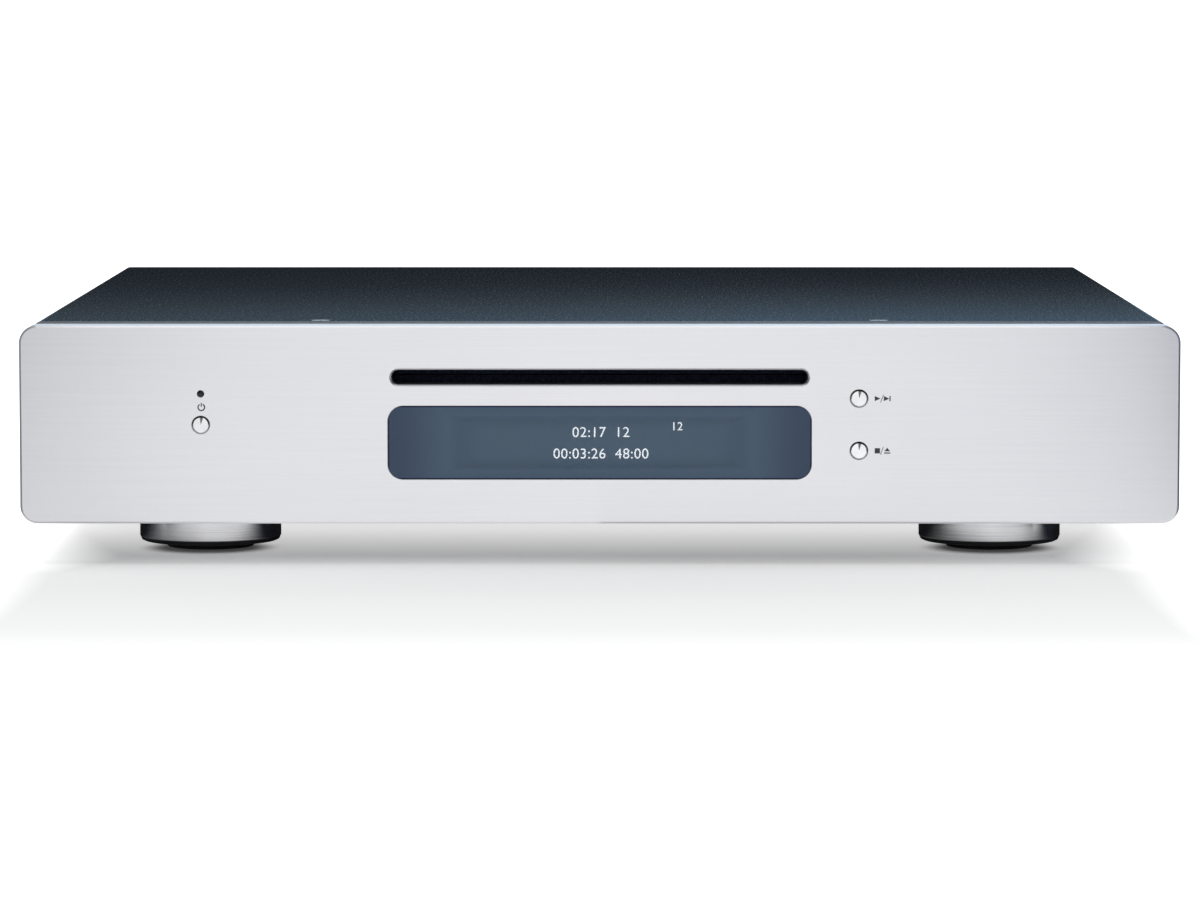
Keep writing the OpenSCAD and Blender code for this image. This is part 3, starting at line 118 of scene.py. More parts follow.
mirrored = add(room, "ShaderNodeMix", {"data_type": "RGBA"}, {
    0: (behind, "Result"), 6: (front_side, 2), 7: (back_wall, 2)})
backlit = add(room, "ShaderNodeMapRange", {
    "From Min": -0.8, "From Max": 0.9, "To Min": 0.2, "To Max": 0.78}, {"Value": (axes, "Y")})
plain = add(room, "ShaderNodeBackground", {"Color": (0.98, 0.99, 1.0, 1.0)}, {
    "Strength": (backlit, "Result")})
mirror_view = add(room, "ShaderNodeBackground", links={"Color": (mirrored, 2)})
white = add(room, "ShaderNodeBackground", {"Color": (1.0, 1.0, 1.0, 1.0), "Strength": 1.0})
ray = add(room, "ShaderNodeLightPath")
lit = add(room, "ShaderNodeMixShader", links={0: (ray, "Is Glossy Ray"), 1: (plain, 0), 2: (mirror_view, 0)})
seen = add(room, "ShaderNodeMixShader", links={0: (ray, "Is Camera Ray"), 1: (lit, 0), 2: (white, 0)})
add(room, "ShaderNodeOutputWorld", links={"Surface": (seen, 0)})

lamp = bpy.data.objects.new("overhead softbox", bpy.data.lights.new("overhead softbox", "AREA"))
lamp.data.shape = "RECTANGLE"
lamp.data.size = 1800 * MM
lamp.data.size_y = 1100 * MM
lamp.data.energy = 5.6
lamp.location = Vector((0, -200, 1500)) * MM
lamp.rotation_euler = (math.radians(8), 0.0, 0.0)
scene.collection.objects.link(lamp)


# ---- White sweep ----
# White acrylic: diffuse white that keeps the unit's soft shadow, and a glow that only the eye and
# reflections see. For the eye, the glow is a painted shadow: given from 700 mm in front to 100 mm behind the
# middle, it is dimmed where the shadow lies, SHADOW_SHIFT to the left.
def start(name):
    """An empty finish, with the piece's own place in millimetres to lay patterns by."""
    finish = bpy.data.materials.new(name)
    finish.use_nodes = True
    tree = finish.node_tree
    tree.nodes.clear()
    where = add(tree, "ShaderNodeTexCoord")
    place = add(tree, "ShaderNodeVectorMath", {"operation": "SCALE", "Scale": 1 / MM}, {
        0: (where, "Object")})
    return finish, tree, place


def loose(name, bm, finish):
    """Turns a bmesh into an object with one finish."""
    bmesh.ops.recalc_face_normals(bm, faces=bm.faces)
    mesh = bpy.data.meshes.new(name)
    bm.to_mesh(mesh)
    bm.free()
    mesh.materials.append(finish)
    made = bpy.data.objects.new(name, mesh)
    scene.collection.objects.link(made)
    return made


def sheet(name, corners, finish):
    """A flat sheet of the studio."""
    bm = bmesh.new()
    bm.faces.new([bm.verts.new(Vector(corner) * MM) for corner in corners])
    return loose(name, bm, finish)


def level(half, near, far, z):
    """The corners of a level sheet, even to both sides."""
    return [(-half, near, z), (half, near, z), (half, far, z), (-half, far, z)]


sweep_acrylic, tree, place = start("white acrylic sweep")
axes = add(tree, "ShaderNodeSeparateXYZ", links={0: (place, 0)})
depth = add(tree, "ShaderNodeMapRange", {"From Min": -700.0, "From Max": 100.0}, {"Value": (axes, "Y")})
# Painted shadow: the glow's strength from front to back.
painted_darkening = add(tree, "ShaderNodeValToRGB", {"stops": [
    (0.28, "#ffffff"), (0.4075, "#b6b6b6"), (0.464, "#a2a2a2"), (0.521, "#9c9c9c"), (0.585, "#969696"),
    (0.6525, "#9b9b9b"), (0.70, "#939393"), (0.741, "#bababa"), (0.7975, "#dcdcdc"), (0.86, "#e8e8e8"),
]}, {"Fac": (depth, 0)})
SHADOW_SHIFT = 4.0
shifted = add(tree, "ShaderNodeMath", {"operation": "ADD", 1: SHADOW_SHIFT}, {0: (axes, "X")})
side = add(tree, "ShaderNodeMath", {"operation": "ABSOLUTE"}, {0: (shifted, 0)})
near_end = add(tree, "ShaderNodeMapRange", {
    "interpolation_type": "SMOOTHSTEP", "From Min": 118.0, "From Max": 187.0}, {"Value": (side, 0)})
far_end = add(tree, "ShaderNodeMapRange", {
    "interpolation_type": "SMOOTHSTEP", "From Min": 130.0, "From Max": 206.0}, {"Value": (side, 0)})
under = add(tree, "ShaderNodeMapRange", {"From Min": -190.0, "From Max": -150.0}, {"Value": (axes, "Y")})
beside = add(tree, "ShaderNodeMix", links={0: (under, 0), 2: (far_end, 0), 3: (near_end, 0)})
open_glow = add(tree, "ShaderNodeMath", {"operation": "MAXIMUM"}, {0: (painted_darkening, "Color"), 1: (beside, 0)})
# For the eye, the glow is also dimmed around each front foot, a painted contact shadow where the shadow is
# deepest.
FOOT_X, FOOT_Y = 121.5, -116.0
from_axis = add(tree, "ShaderNodeMath", {"operation": "ABSOLUTE"}, {0: (axes, "X")})
foot_side = add(tree, "ShaderNodeMath", {"operation": "SUBTRACT", 1: FOOT_X}, {0: (from_axis, 0)})
foot_ahead = add(tree, "ShaderNodeMath", {"operation": "SUBTRACT", 1: FOOT_Y}, {0: (axes, "Y")})
foot_away = add(tree, "ShaderNodeCombineXYZ", links={0: (foot_side, 0), 1: (foot_ahead, 0)})
foot_away = add(tree, "ShaderNodeVectorMath", {"operation": "LENGTH"}, {0: (foot_away, 0)})
painted_contact_shadow = add(tree, "ShaderNodeMapRange", {
    "interpolation_type": "SMOOTHSTEP", "From Min": 13.0, "From Max": 23.0, "To Min": 0.1}, {
    "Value": (foot_away, "Value")})
open_glow = add(tree, "ShaderNodeMath", {"operation": "MULTIPLY"}, {0: (open_glow, 0), 1: (painted_contact_shadow, 0)})
ray = add(tree, "ShaderNodeLightPath")
mirror = add(tree, "ShaderNodeMath", {"operation": "MAXIMUM"}, {
    0: (ray, "Is Glossy Ray"), 1: (ray, "Is Transmission Ray")})
mirror_glow = add(tree, "ShaderNodeMath", {"operation": "MULTIPLY", 1: 0.5}, {0: (mirror, 0)})
glow = add(tree, "ShaderNodeMath", {"operation": "MULTIPLY_ADD"}, {
    0: (open_glow, 0), 1: (ray, "Is Camera Ray"), 2: (mirror_glow, 0)})
matte = add(tree, "ShaderNodeBsdfDiffuse", {"Color": srgb("#f0f0f0")})
painted_shadow_glow = add(tree, "ShaderNodeEmission", links={"Strength": (glow, 0)})
both = add(tree, "ShaderNodeAddShader", links={0: (matte, 0), 1: (painted_shadow_glow, 0)})
add(tree, "ShaderNodeOutputMaterial", links={"Surface": (both, 0)})
SWEEP = 40000
sheet("white sweep", level(SWEEP, -SWEEP, SWEEP, 0), sweep_acrylic)


# ---- Flags, nets and boards ----
# Black cloth, grey net and painted board that only reflections see. A black flag behind the unit
# darkens the rear half of the cover. One under it gives the feet and the panel's ends dark edges,
# and on the left of each foot it starts further forward and thickens more slowly.
def screened(tree, colour, weight=1.0, dense=None):
    """Makes a finish one even tone, thinned by a weight or by a pattern of how dense it is."""
    nothing = add(tree, "ShaderNodeBsdfTransparent")
    tone = add(tree, "ShaderNodeEmission", {"Color": srgb(colour)})
    thinned = {} if dense is None else {0: (dense, 0)}
    shader = add(tree, "ShaderNodeMixShader", {0: weight}, {**thinned, 1: (nothing, 0), 2: (tone, 0)})
    add(tree, "ShaderNodeOutputMaterial", links={"Surface": (shader, 0)})


black_flag, tree, place = start("black flag")
axes = add(tree, "ShaderNodeSeparateXYZ", links={0: (place, 0)})
toward = add(tree, "ShaderNodeMath", {"operation": "SIGN"}, {0: (axes, "X")})
beyond = add(tree, "ShaderNodeMath", {"operation": "MULTIPLY_ADD", 1: -FOOT_X}, {
    0: (toward, 0), 2: (axes, "X")})
left = add(tree, "ShaderNodeMapRange", {"From Min": 20.0, "From Max": -30.0}, {"Value": (beyond, 0)})
starts = add(tree, "ShaderNodeMapRange", {"To Min": -172.0, "To Max": -220.0}, {"Value": (left, 0)})
ends = add(tree, "ShaderNodeMapRange", {"To Min": -110.0, "To Max": -85.0}, {"Value": (left, 0)})
dense = add(tree, "ShaderNodeMapRange", {"interpolation_type": "SMOOTHSTEP"}, {
    "Value": (axes, "Y"), "From Min": (starts, 0), "From Max": (ends, 0)})
screened(tree, "#17171a", dense=dense)

# The net in front thickens to both sides, so that the panel's ends fall off in tone.
grey_net, tree, place = start("grey net")
axes = add(tree, "ShaderNodeSeparateXYZ", links={0: (place, 0)})
side = add(tree, "ShaderNodeMath", {"operation": "ABSOLUTE"}, {0: (axes, "X")})
dense = add(tree, "ShaderNodeMapRange", {
    "interpolation_type": "SMOOTHSTEP", "From Min": 120.0, "From Max": 340.0, "To Max": 0.8}, {
    "Value": (side, 0)})
screened(tree, "#2e3238", dense=dense)


def board(name, colour, weight=1.0):
    """The finish of a studio board."""
    finish, tree, place = start(name)
    screened(tree, colour, weight)
    return finish


def upright(x, near, far, top):
    """The corners of a board that stands beside the unit."""
    return [(x, near, 0.5), (x, far, 0.5), (x, far, top), (x, near, top)]


FLAG_Y, FLAG_TOP = 192, 171
behind_unit = [(-700, FLAG_Y, 0), (700, FLAG_Y, 0), (700, FLAG_Y, FLAG_TOP), (60, FLAG_Y, FLAG_TOP),
               (-150, FLAG_Y, 194), (-700, FLAG_Y, 262)]
for screen in (
        sheet("flag behind", behind_unit, black_flag),
        sheet("flag below", level(900, -330, 185, 0.1), black_flag),
        sheet("net in front", level(1500, -2600, -240, 0.2), grey_net),
        sheet("net above", level(600, -300, 500, 500), board("grey net above", "#c8c8c8", 0.6)),
        sheet("board left", upright(-207, -290, -150, 420), board("grey board", "#7d8085")),
        sheet("board right", upright(203, -365, -150, 420), board("dark board", "#5e636d"))):
    screen.visible_camera = False
    screen.visible_diffuse = False
    screen.visible_shadow = False
    screen.visible_transmission = False


# ---- Chassis, subframe and loader sheets ----
# Pressed sheet steel, 1.2 mm, bright zinc plated, folded and held with M3 screws.
# Plating over rolled sheet gives faint streaks along the rolling direction.
nodes = frame["nodes"]


def worked(tree, place, tones, grain, roughness, depth, metallic=0.0, stretch=(1, 1, 1), patch=45.0, **more):
    """The shader of a worked surface: grain and depth in millimetres, two tones that drift over
    patches of handling and light wear, and a roughness that follows the grain."""
    drawn = add(tree, "ShaderNodeVectorMath", {"operation": "MULTIPLY", 1: stretch}, {0: (place, 0)})
    fine = add(tree, "ShaderNodeTexNoise", {"Scale": 1.0 / grain, "Detail": 3.0}, {"Vector": (drawn, 0)})
    broad = add(tree, "ShaderNodeTexNoise", {"Scale": 1.0 / patch, "Detail": 2.0}, {"Vector": (place, 0)})
    speckle = add(tree, "ShaderNodeMath", {"operation": "MULTIPLY", 1: 0.4}, {0: (fine, "Fac")})
    mottle = add(tree, "ShaderNodeMath", {"operation": "MULTIPLY_ADD", 1: 0.6}, {
        0: (broad, "Fac"), 2: (speckle, 0)})
    tone = add(tree, "ShaderNodeValToRGB", {"stops": [(0.3, tones[0]), (0.7, tones[1])]}, {
        "Fac": (mottle, 0)})
    rough = add(tree, "ShaderNodeMapRange", {"To Min": roughness[0], "To Max": roughness[1]}, {
        "Value": (fine, "Fac")})
    relief = add(tree, "ShaderNodeBump", {"Strength": 0.6, "Distance": depth * MM}, {
        "Height": (fine, "Fac")})
    return add(tree, "ShaderNodeBsdfPrincipled", {"Metallic": metallic, **more}, {
        "Base Color": (tone, "Color"), "Roughness": (rough, 0), "Normal": (relief, 0)})


def grained(name, *surface, **more):
    """A finish that is one worked surface all over."""
    finish, tree, place = start(name)
    shader = worked(tree, place, *surface, **more)
    add(tree, "ShaderNodeOutputMaterial", links={"Surface": (shader, 0)})
    return finish


def dress(names, finish, edge=0.0):
    """Gives CAD pieces their finish and breaks their edges by a radius in millimetres."""
    for name in names:
        for held in nodes[name].material_slots:
            held.material = finish
        if edge:
            weld = nodes[name].modifiers.new("joined corners", "WELD")
            weld.merge_threshold = 0.001 * MM
            flat = nodes[name].modifiers.new("whole faces", "DECIMATE")
            flat.decimate_type = "DISSOLVE"
            flat.angle_limit = math.radians(0.6)
            broken = nodes[name].modifiers.new("broken edges", "BEVEL")
            broken.width = edge * MM
            broken.segments = 2
            broken.limit_method = "ANGLE"
            broken.angle_limit = math.radians(38)
            broken.harden_normals = True


zinc_steel = grained("bright zinc plated steel sheet", ("#9da2a6", "#c3c7ca"), 0.6, (0.26, 0.42), 0.01,
                     metallic=1.0, stretch=(1.0, 0.06, 1.0), patch=30.0)
dress(["chassis_tray", "front_subframe", "loader_frame", "loader_top_plate"], zinc_steel)
# Bright zinc on small turned and headed parts, a little yellower than the sheet.
zinc_screws = grained("bright zinc plated screws", ("#a5a8a8", "#cdcdc8"), 0.25, (0.22, 0.36), 0.006,
                      metallic=1.0)
dress(["foot_screws", "board_screws", "board_standoffs"], zinc_screws)


# ---- Boards ----
# Glass laminate under green solder resist for the signals, with the copper tracks showing as
# paler lines, and plain paper laminate, tan and fibrous, under the mains parts.
green_laminate = grained("green solder resist on glass laminate", ("#0f3d25", "#1d6a3f"), 1.1,
                         (0.28, 0.4), 0.03, stretch=(1.0, 0.15, 1.0), patch=12.0, IOR=1.5)
dress(["front_board", "main_board"], green_laminate)
tan_laminate = grained("tan paper laminate", ("#8a6530", "#b28a4c"), 0.8, (0.45, 0.6), 0.01,
                       patch=15.0, IOR=1.5)
dress(["power_board"], tan_laminate)
# The transformer is bound in glossy tape, 3 mm to a turn.
winding_tape = grained("yellow winding tape", ("#b08a1e", "#d2ab36"), 3.0, (0.28, 0.4), 0.05,
                       stretch=(0.1, 0.1, 1.0), IOR=1.5)
dress(["transformer"], winding_tape)
# Capacitors wear a shrunk plastic sleeve, tight and glossy.
capacitor_sleeve = grained("shrunk dark blue sleeve", ("#10192b", "#1c2942"), 1.2, (0.22, 0.34), 0.02,
                           IOR=1.5)
dress(["power_capacitors"], capacitor_sleeve)
# The heatsink is extruded and black anodised, with fine draw lines along its height.
black_anodised = grained("black anodised extrusion", ("#141416", "#232326"), 0.3, (0.35, 0.48), 0.01,
                         metallic=0.7, stretch=(1.0, 1.0, 0.05))
dress(["heatsink"], black_anodised)
# Flat cables: foil conductors between films of polyester, pale with fine lines lengthwise.
ribbon_film = grained("white polyester ribbon", ("#bcbcb4", "#e8e8e2"), 0.5, (0.3, 0.4), 0.02,
                      stretch=(2.0, 0.01, 0.01), IOR=1.57)
dress(["ribbon_cables"], ribbon_film)
# Black ABS, moulded in a finely sparked tool: the boards' connectors and the push switches.
black_abs = grained("moulded black ABS", ("#0c0c0e", "#17171a"), 0.22, (0.42, 0.6), 0.02, IOR=1.53)
dress(["main_board_parts", "switch_bodies"], black_abs)


# ---- Loader, clamp and traverse ----
# Levers and frames are moulded in glass filled nylon, which shows dull and faintly mottled. They
# hang in the folded sheets on pins, and the traverse floats on four rubber dampers.
grey_nylon = grained("moulded glass filled nylon", ("#26282b", "#3a3d40"), 0.5, (0.5, 0.7), 0.03, IOR=1.53)
dress(["roller_bracket", "traverse_frame", "turntable", "clamp_arm"], grey_nylon)
dress(["disc_guide"], black_abs)
# Gears, pulleys, the cam slide and the clamp puck are natural acetal, milky and slightly waxy.
natural_acetal = grained("moulded natural acetal", ("#dcd7c8", "#ece8dc"), 0.4, (0.3, 0.42), 0.01,
                         IOR=1.48)
dress(["roller_gear", "motor_pulley", "pulley_gear", "clamp_pinion", "cam_slide", "clamp_puck"],
      natural_acetal)
# Motor cans are deep drawn steel, nickel plated, streaked along the draw.
motor_can = grained("drawn and plated steel can", ("#94958f", "#bdbcb5"), 0.4, (0.26, 0.4), 0.008,
                    metallic=1.0, stretch=(0.1, 0.1, 1.0))
dress(["loading_motor", "clamp_motor", "sled_motor", "spindle_motor"], motor_can)
# The pickup is die cast zinc, tumbled grey.
pickup_casting = grained("die cast zinc", ("#5b5e61", "#7d8083"), 0.5, (0.38, 0.55), 0.02, metallic=1.0)
dress(["optical_pickup"], pickup_casting)
# Shafts and rods are ground steel, nickel plated.
nickel_steel = grained("nickel plated steel", ("#a9a79f", "#cbc9c1"), 0.3, (0.14, 0.26), 0.005,
                       metallic=1.0)
dress(["roller_shaft", "guide_rods", "leadscrew"], nickel_steel)
# Black rubber, moulded, dull, with a fine grain: roller sleeves, drive belt and dampers.
black_rubber = grained("moulded black rubber", ("#141415", "#222223"), 0.3, (0.7, 0.88), 0.03, IOR=1.52)
dress(["roller_sleeves", "loading_belt", "traverse_dampers"], black_rubber)


# ---- Dust lips and slot frame ----
# Two lips of short black pile on film close the disc slot behind the panel, and meet in the
# middle. The pile stands about 0.3 mm apart, drawn coarser than it is, so that it shows. A
# moulded black frame holds the lips.
lip_pile, tree, place = start("short black pile")
combed = add(tree, "ShaderNodeVectorMath", {"operation": "MULTIPLY", 1: (3.5, 1.0, 0.7)}, {0: (place, 0)})
pile = add(tree, "ShaderNodeTexNoise", {"Scale": 1.0, "Detail": 3.0}, {"Vector": (combed, 0)})
tone = add(tree, "ShaderNodeValToRGB", {"stops": [(0.35, "#1a2030"), (0.7, "#3a445c")]}, {
    "Fac": (pile, "Fac")})
relief = add(tree, "ShaderNodeBump", {"Strength": 0.8, "Distance": 0.15 * MM}, {"Height": (pile, "Fac")})
shader = add(tree, "ShaderNodeBsdfPrincipled", {
    "Roughness": 0.9, "Sheen Weight": 0.15, "Sheen Roughness": 0.5, "Specular IOR Level": 0.2}, {
    "Base Color": (tone, "Color"), "Normal": (relief, 0)})
add(tree, "ShaderNodeOutputMaterial", links={"Surface": (shader, 0)})
dress(["dust_lips"], lip_pile, 0.2)
dress(["slot_frame"], black_abs)


# ---- Front panel ----
# A 10 mm aluminium plate, brushed along its length and clear anodised, with a bevel all round.
# The brushing spreads light up and down and leaves fine level streaks. Real brush marks are
# about 0.05 mm apart. They are drawn 0.35 mm apart, so that they show.
def corners(name):
    """The lowest and the highest corner of a CAD piece, in millimetres."""
    return [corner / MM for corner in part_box(name)]


def off_middle(tree, place, z):
    """How far a place lies to either side of the panel's middle, and how far above a height."""
    axes = add(tree, "ShaderNodeSeparateXYZ", links={0: (place, 0)})
    sideways = add(tree, "ShaderNodeMath", {"operation": "ABSOLUTE"}, {0: (axes, "X")})
    rise = add(tree, "ShaderNodeMath", {"operation": "SUBTRACT", 1: z}, {0: (axes, "Z")})
    return sideways, rise


brushed_panel, tree, place = start("brushed clear anodised aluminium")
PER_MM_ALONG, PER_MM_UP = 0.022, 2.8
brushed = add(tree, "ShaderNodeVectorMath", {
    "operation": "MULTIPLY", 1: (PER_MM_ALONG, PER_MM_ALONG, PER_MM_UP)}, {0: (place, 0)})
streak = add(tree, "ShaderNodeTexNoise", {"Scale": 1.0, "Detail": 4.0, "Roughness": 0.6}, {
    "Vector": (brushed, 0)})
# The anodising drifts a little in tone, over patches about 80 mm long and 30 mm high.
drifts = add(tree, "ShaderNodeVectorMath", {"operation": "MULTIPLY", 1: (0.012, 0.012, 0.03)}, {
    0: (place, 0)})
cloud = add(tree, "ShaderNodeTexNoise", {"Scale": 1.0, "Detail": 2.0}, {"Vector": (drifts, 0)})
streaked = add(tree, "ShaderNodeMath", {"operation": "MULTIPLY", 1: 0.65}, {0: (streak, "Fac")})
mottle = add(tree, "ShaderNodeMath", {"operation": "MULTIPLY_ADD", 1: 0.35}, {
    0: (cloud, "Fac"), 2: (streaked, 0)})
bare = add(tree, "ShaderNodeValToRGB", {"stops": [(0.25, "#ebebee"), (0.75, "#f3f3f5")]}, {
    "Fac": (mottle, 0)})
# The disc slot is milled through after brushing. Its walls are coloured near black, as painted shade inside
# the slot, and the small chamfer around its mouth stays bare, darkened on its lower side as painted shade.
SLOT_W, SLOT_H = 125.6, 4.5
slot_z = next(m["pos_m"][2] for m in frame["record"]["mounts"] if m["name"] == "disc_slot") / MM
sideways, rise = off_middle(tree, place, slot_z)
past = add(tree, "ShaderNodeMath", {"operation": "SUBTRACT", 1: (SLOT_W - SLOT_H) / 2}, {0: (sideways, 0)})
past = add(tree, "ShaderNodeMath", {"operation": "MAXIMUM", 1: 0.0}, {0: (past, 0)})
off = add(tree, "ShaderNodeCombineXYZ", links={0: (past, 0), 2: (rise, 0)})
off = add(tree, "ShaderNodeVectorMath", {"operation": "LENGTH"}, {0: (off, 0)})
outward = add(tree, "ShaderNodeMapRange", {"From Min": SLOT_H / 2 - 0.4, "From Max": SLOT_H / 2 + 0.4}, {
    "Value": (off, "Value")})
# Painted shade: near black on the slot's walls.
painted_wall_shade = add(tree, "ShaderNodeValToRGB", {"stops": [
    (0.0, "#0a0a0c"), (0.48, "#0a0a0c"), (0.52, "#ffffff"),
]}, {"Fac": (outward, 0)})
# Painted shade: the chamfer's lower side is darkened.
chamfer = add(tree, "ShaderNodeMapRange", {
    "From Min": SLOT_H / 2 + 0.45, "From Max": SLOT_H / 2 + 0.35}, {"Value": (off, "Value")})
lower = add(tree, "ShaderNodeMapRange", {"From Min": -0.8, "From Max": -1.6}, {"Value": (rise, 0)})
painted_chamfer_shade = add(tree, "ShaderNodeMath", {"operation": "MULTIPLY"}, {0: (chamfer, 0), 1: (lower, 0)})
painted_slot_shade = add(tree, "ShaderNodeMix", {"data_type": "RGBA", "blend_type": "MULTIPLY", 7: srgb("#c8c8ca")}, {
    0: (painted_chamfer_shade, 0), 6: (painted_wall_shade, "Color")})
tone = add(tree, "ShaderNodeMix", {"data_type": "RGBA", "blend_type": "MULTIPLY", 0: 1.0}, {
    6: (bare, "Color"), 7: (painted_slot_shade, 2)})
rough = add(tree, "ShaderNodeMapRange", {"To Min": 0.27, "To Max": 0.35}, {"Value": (streak, "Fac")})
relief = add(tree, "ShaderNodeBump", {"Strength": 0.1, "Distance": 0.02 * MM}, {
    "Height": (streak, "Fac")})
up_down = add(tree, "ShaderNodeTangent", {"direction_type": "RADIAL", "axis": "X"})
shader = add(tree, "ShaderNodeBsdfPrincipled", {"Metallic": 1.0, "Anisotropic": 0.9}, {
    "Base Color": (tone, 2), "Roughness": (rough, 0), "Normal": (relief, 0), "Tangent": (up_down, 0)})
add(tree, "ShaderNodeOutputMaterial", links={"Surface": (shader, 0)})
dress(["front_panel"], brushed_panel, 0.12)
panel_face = corners("front_panel")[0].y


# ---- Display window ----
# 2 mm tinted acrylic, polished, set 0.3 mm below the panel's face. A blue-grey border is printed
# on its back and thins out toward the middle, where the lit display shows through.
def dimmed(tree, sideways, apart, ends, rims, rim_share):
    """How far the tone has changed, toward both ends and by a share toward the long rims."""
    end_fade = add(tree, "ShaderNodeMapRange", {
        "interpolation_type": "SMOOTHSTEP", "From Min": ends[0], "From Max": ends[1]}, {
        "Value": (sideways, 0)})
    rim_fade = add(tree, "ShaderNodeMapRange", {
        "interpolation_type": "SMOOTHSTEP", "From Min": rims[0], "From Max": rims[1], "To Max": rim_share}, {
        "Value": (apart, 0)})
    return add(tree, "ShaderNodeMath", {"operation": "MAXIMUM"}, {0: (end_fade, 0), 1: (rim_fade, 0)})


window_low, window_high = corners("display_window")
window = (window_low + window_high) / 2
WINDOW_RIM = 0.35
tinted_acrylic, tree, place = start("polished tinted acrylic")
sideways, rise = off_middle(tree, place, window.z)
apart = add(tree, "ShaderNodeMath", {"operation": "ABSOLUTE"}, {0: (rise, 0)})
border_x = add(tree, "ShaderNodeMapRange", {"From Min": 30.0, "From Max": 46.0}, {"Value": (sideways, 0)})
border_z = add(tree, "ShaderNodeMapRange", {"From Min": 4.4, "From Max": 8.4}, {"Value": (apart, 0)})
border = add(tree, "ShaderNodeMath", {"operation": "MAXIMUM"}, {0: (border_x, 0), 1: (border_z, 0)})
veil = add(tree, "ShaderNodeMath", {"operation": "MAXIMUM", 1: 0.6}, {0: (border, 0)})
haze = add(tree, "ShaderNodeTexNoise", {"Scale": 0.05, "Detail": 2.0}, {"Vector": (place, 0)})
rough = add(tree, "ShaderNodeMapRange", {"To Min": 0.03, "To Max": 0.07}, {"Value": (haze, "Fac")})
fade = dimmed(tree, sideways, apart, ends=(34.0, 64.0), rims=(3.0, 11.0), rim_share=0.5)
# Painted glow: the printed tone is lighter toward the middle and darker toward the ends and long rims, as if
# lit by the display behind it.
print_and_glow = add(tree, "ShaderNodeValToRGB", {"stops": [(0.0, "#738ea8"), (1.0, "#526784")]}, {
    "Fac": (fade, 0)})
rim_x = add(tree, "ShaderNodeMath", {
    "operation": "GREATER_THAN", 1: (window_high.x - window_low.x) / 2 - WINDOW_RIM}, {0: (sideways, 0)})
rim_z = add(tree, "ShaderNodeMath", {
    "operation": "GREATER_THAN", 1: (window_high.z - window_low.z) / 2 - WINDOW_RIM}, {0: (apart, 0)})
rim = add(tree, "ShaderNodeMath", {"operation": "MAXIMUM"}, {0: (rim_x, 0), 1: (rim_z, 0)})
edged = add(tree, "ShaderNodeMix", {"data_type": "RGBA", 7: srgb("#1c2a50")}, {
    0: (rim, 0), 6: (print_and_glow, "Color")})
shader = add(tree, "ShaderNodeBsdfPrincipled", {"IOR": 1.49, "Specular IOR Level": 0.2}, {
    "Base Color": (edged, 2), "Roughness": (rough, 0), "Alpha": (veil, 0)})
add(tree, "ShaderNodeOutputMaterial", links={"Surface": (shader, 0)})
dress(["display_window"], tinted_acrylic)


# ---- Lit display and standby lamp ----
# A glass display module on the front board, lit as a blue-grey field that is brighter in the
# middle. It shows plain digits, each a flat figure of light on the glass.
display_glass, tree, place = start("lit display glass")
sideways, rise = off_middle(tree, place, window.z)
apart = add(tree, "ShaderNodeMath", {"operation": "ABSOLUTE"}, {0: (rise, 0)})
fade = dimmed(tree, sideways, apart, ends=(25.0, 62.0), rims=(3.0, 9.5), rim_share=0.55)
field = add(tree, "ShaderNodeValToRGB", {"stops": [(0.0, "#56656f"), (1.0, "#384454")]}, {"Fac": (fade, 0)})
grid = add(tree, "ShaderNodeTexNoise", {"Scale": 2.5, "Detail": 0.0}, {"Vector": (place, 0)})
rough = add(tree, "ShaderNodeMapRange", {"To Min": 0.15, "To Max": 0.3}, {"Value": (grid, "Fac")})
shader = add(tree, "ShaderNodeBsdfPrincipled", {
    "Base Color": srgb("#06080a"), "IOR": 1.52, "Specular IOR Level": 0.1, "Emission Strength": 1.0}, {
    "Emission Color": (field, "Color"), "Roughness": (rough, 0)})
add(tree, "ShaderNodeOutputMaterial", links={"Surface": (shader, 0)})
dress(["display_module"], display_glass)

lit_dots, tree, place = start("lit display dots")
dots = add(tree, "ShaderNodeTexNoise", {"Scale": 2.0}, {"Vector": (place, 0)})
glow = add(tree, "ShaderNodeValToRGB", {"stops": [(0.3, "#f2f6fa"), (0.7, "#ffffff")]}, {
    "Fac": (dots, "Fac")})
shader = add(tree, "ShaderNodeEmission", {"Strength": 5.0}, {"Color": (glow, "Color")})
add(tree, "ShaderNodeOutputMaterial", links={"Surface": (shader, 0)})

DIGIT_HEIGHT = 0.73
display_face = corners("display_module")[0].y


def digits(name, text, x, z, tall, align="LEFT"):
    """Lit digits on the display's face, from or up to x, standing on z. The font's digits are
    DIGIT_HEIGHT of its size."""
    shape = bpy.data.curves.new(name, "FONT")
    shape.body = text
    shape.align_x = align
    shape.size = tall / DIGIT_HEIGHT * MM
    shape.space_character = 1.06
    shape.extrude = 0.02 * MM
    shape.materials.append(lit_dots)
    made = bpy.data.objects.new(name, shape)
    made.location = Vector((x, display_face - 0.05, z)) * MM
    made.rotation_euler = (math.radians(90), 0.0, 0.0)
    scene.collection.objects.link(made)
    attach(made, "case")


UPPER_LINE, LOWER_LINE = 38.45, 31.95
LEFT_GROUP, RIGHT_GROUP = 1.9, 4.6
digits("digits_track", "02:17", LEFT_GROUP, UPPER_LINE, 3.2, "RIGHT")
digits("digits_count", "12", RIGHT_GROUP, UPPER_LINE, 3.2)
digits("digits_time", "00:03:26", LEFT_GROUP, LOWER_LINE, 3.2, "RIGHT")
digits("digits_whole", "48:00", RIGHT_GROUP, LOWER_LINE, 3.2)
digits("digits_next", "12", 21.5, 40.5, 2.6)

# Standby lamp: a smoked light pipe, nearly black while the lamp behind it is off.
smoked_pipe = grained("smoked diffuse acrylic", ("#0c0f1c", "#151a2c"), 0.3, (0.16, 0.24), 0.004, IOR=1.49)
dress(["light_pipe"], smoked_pipe, 0.1)


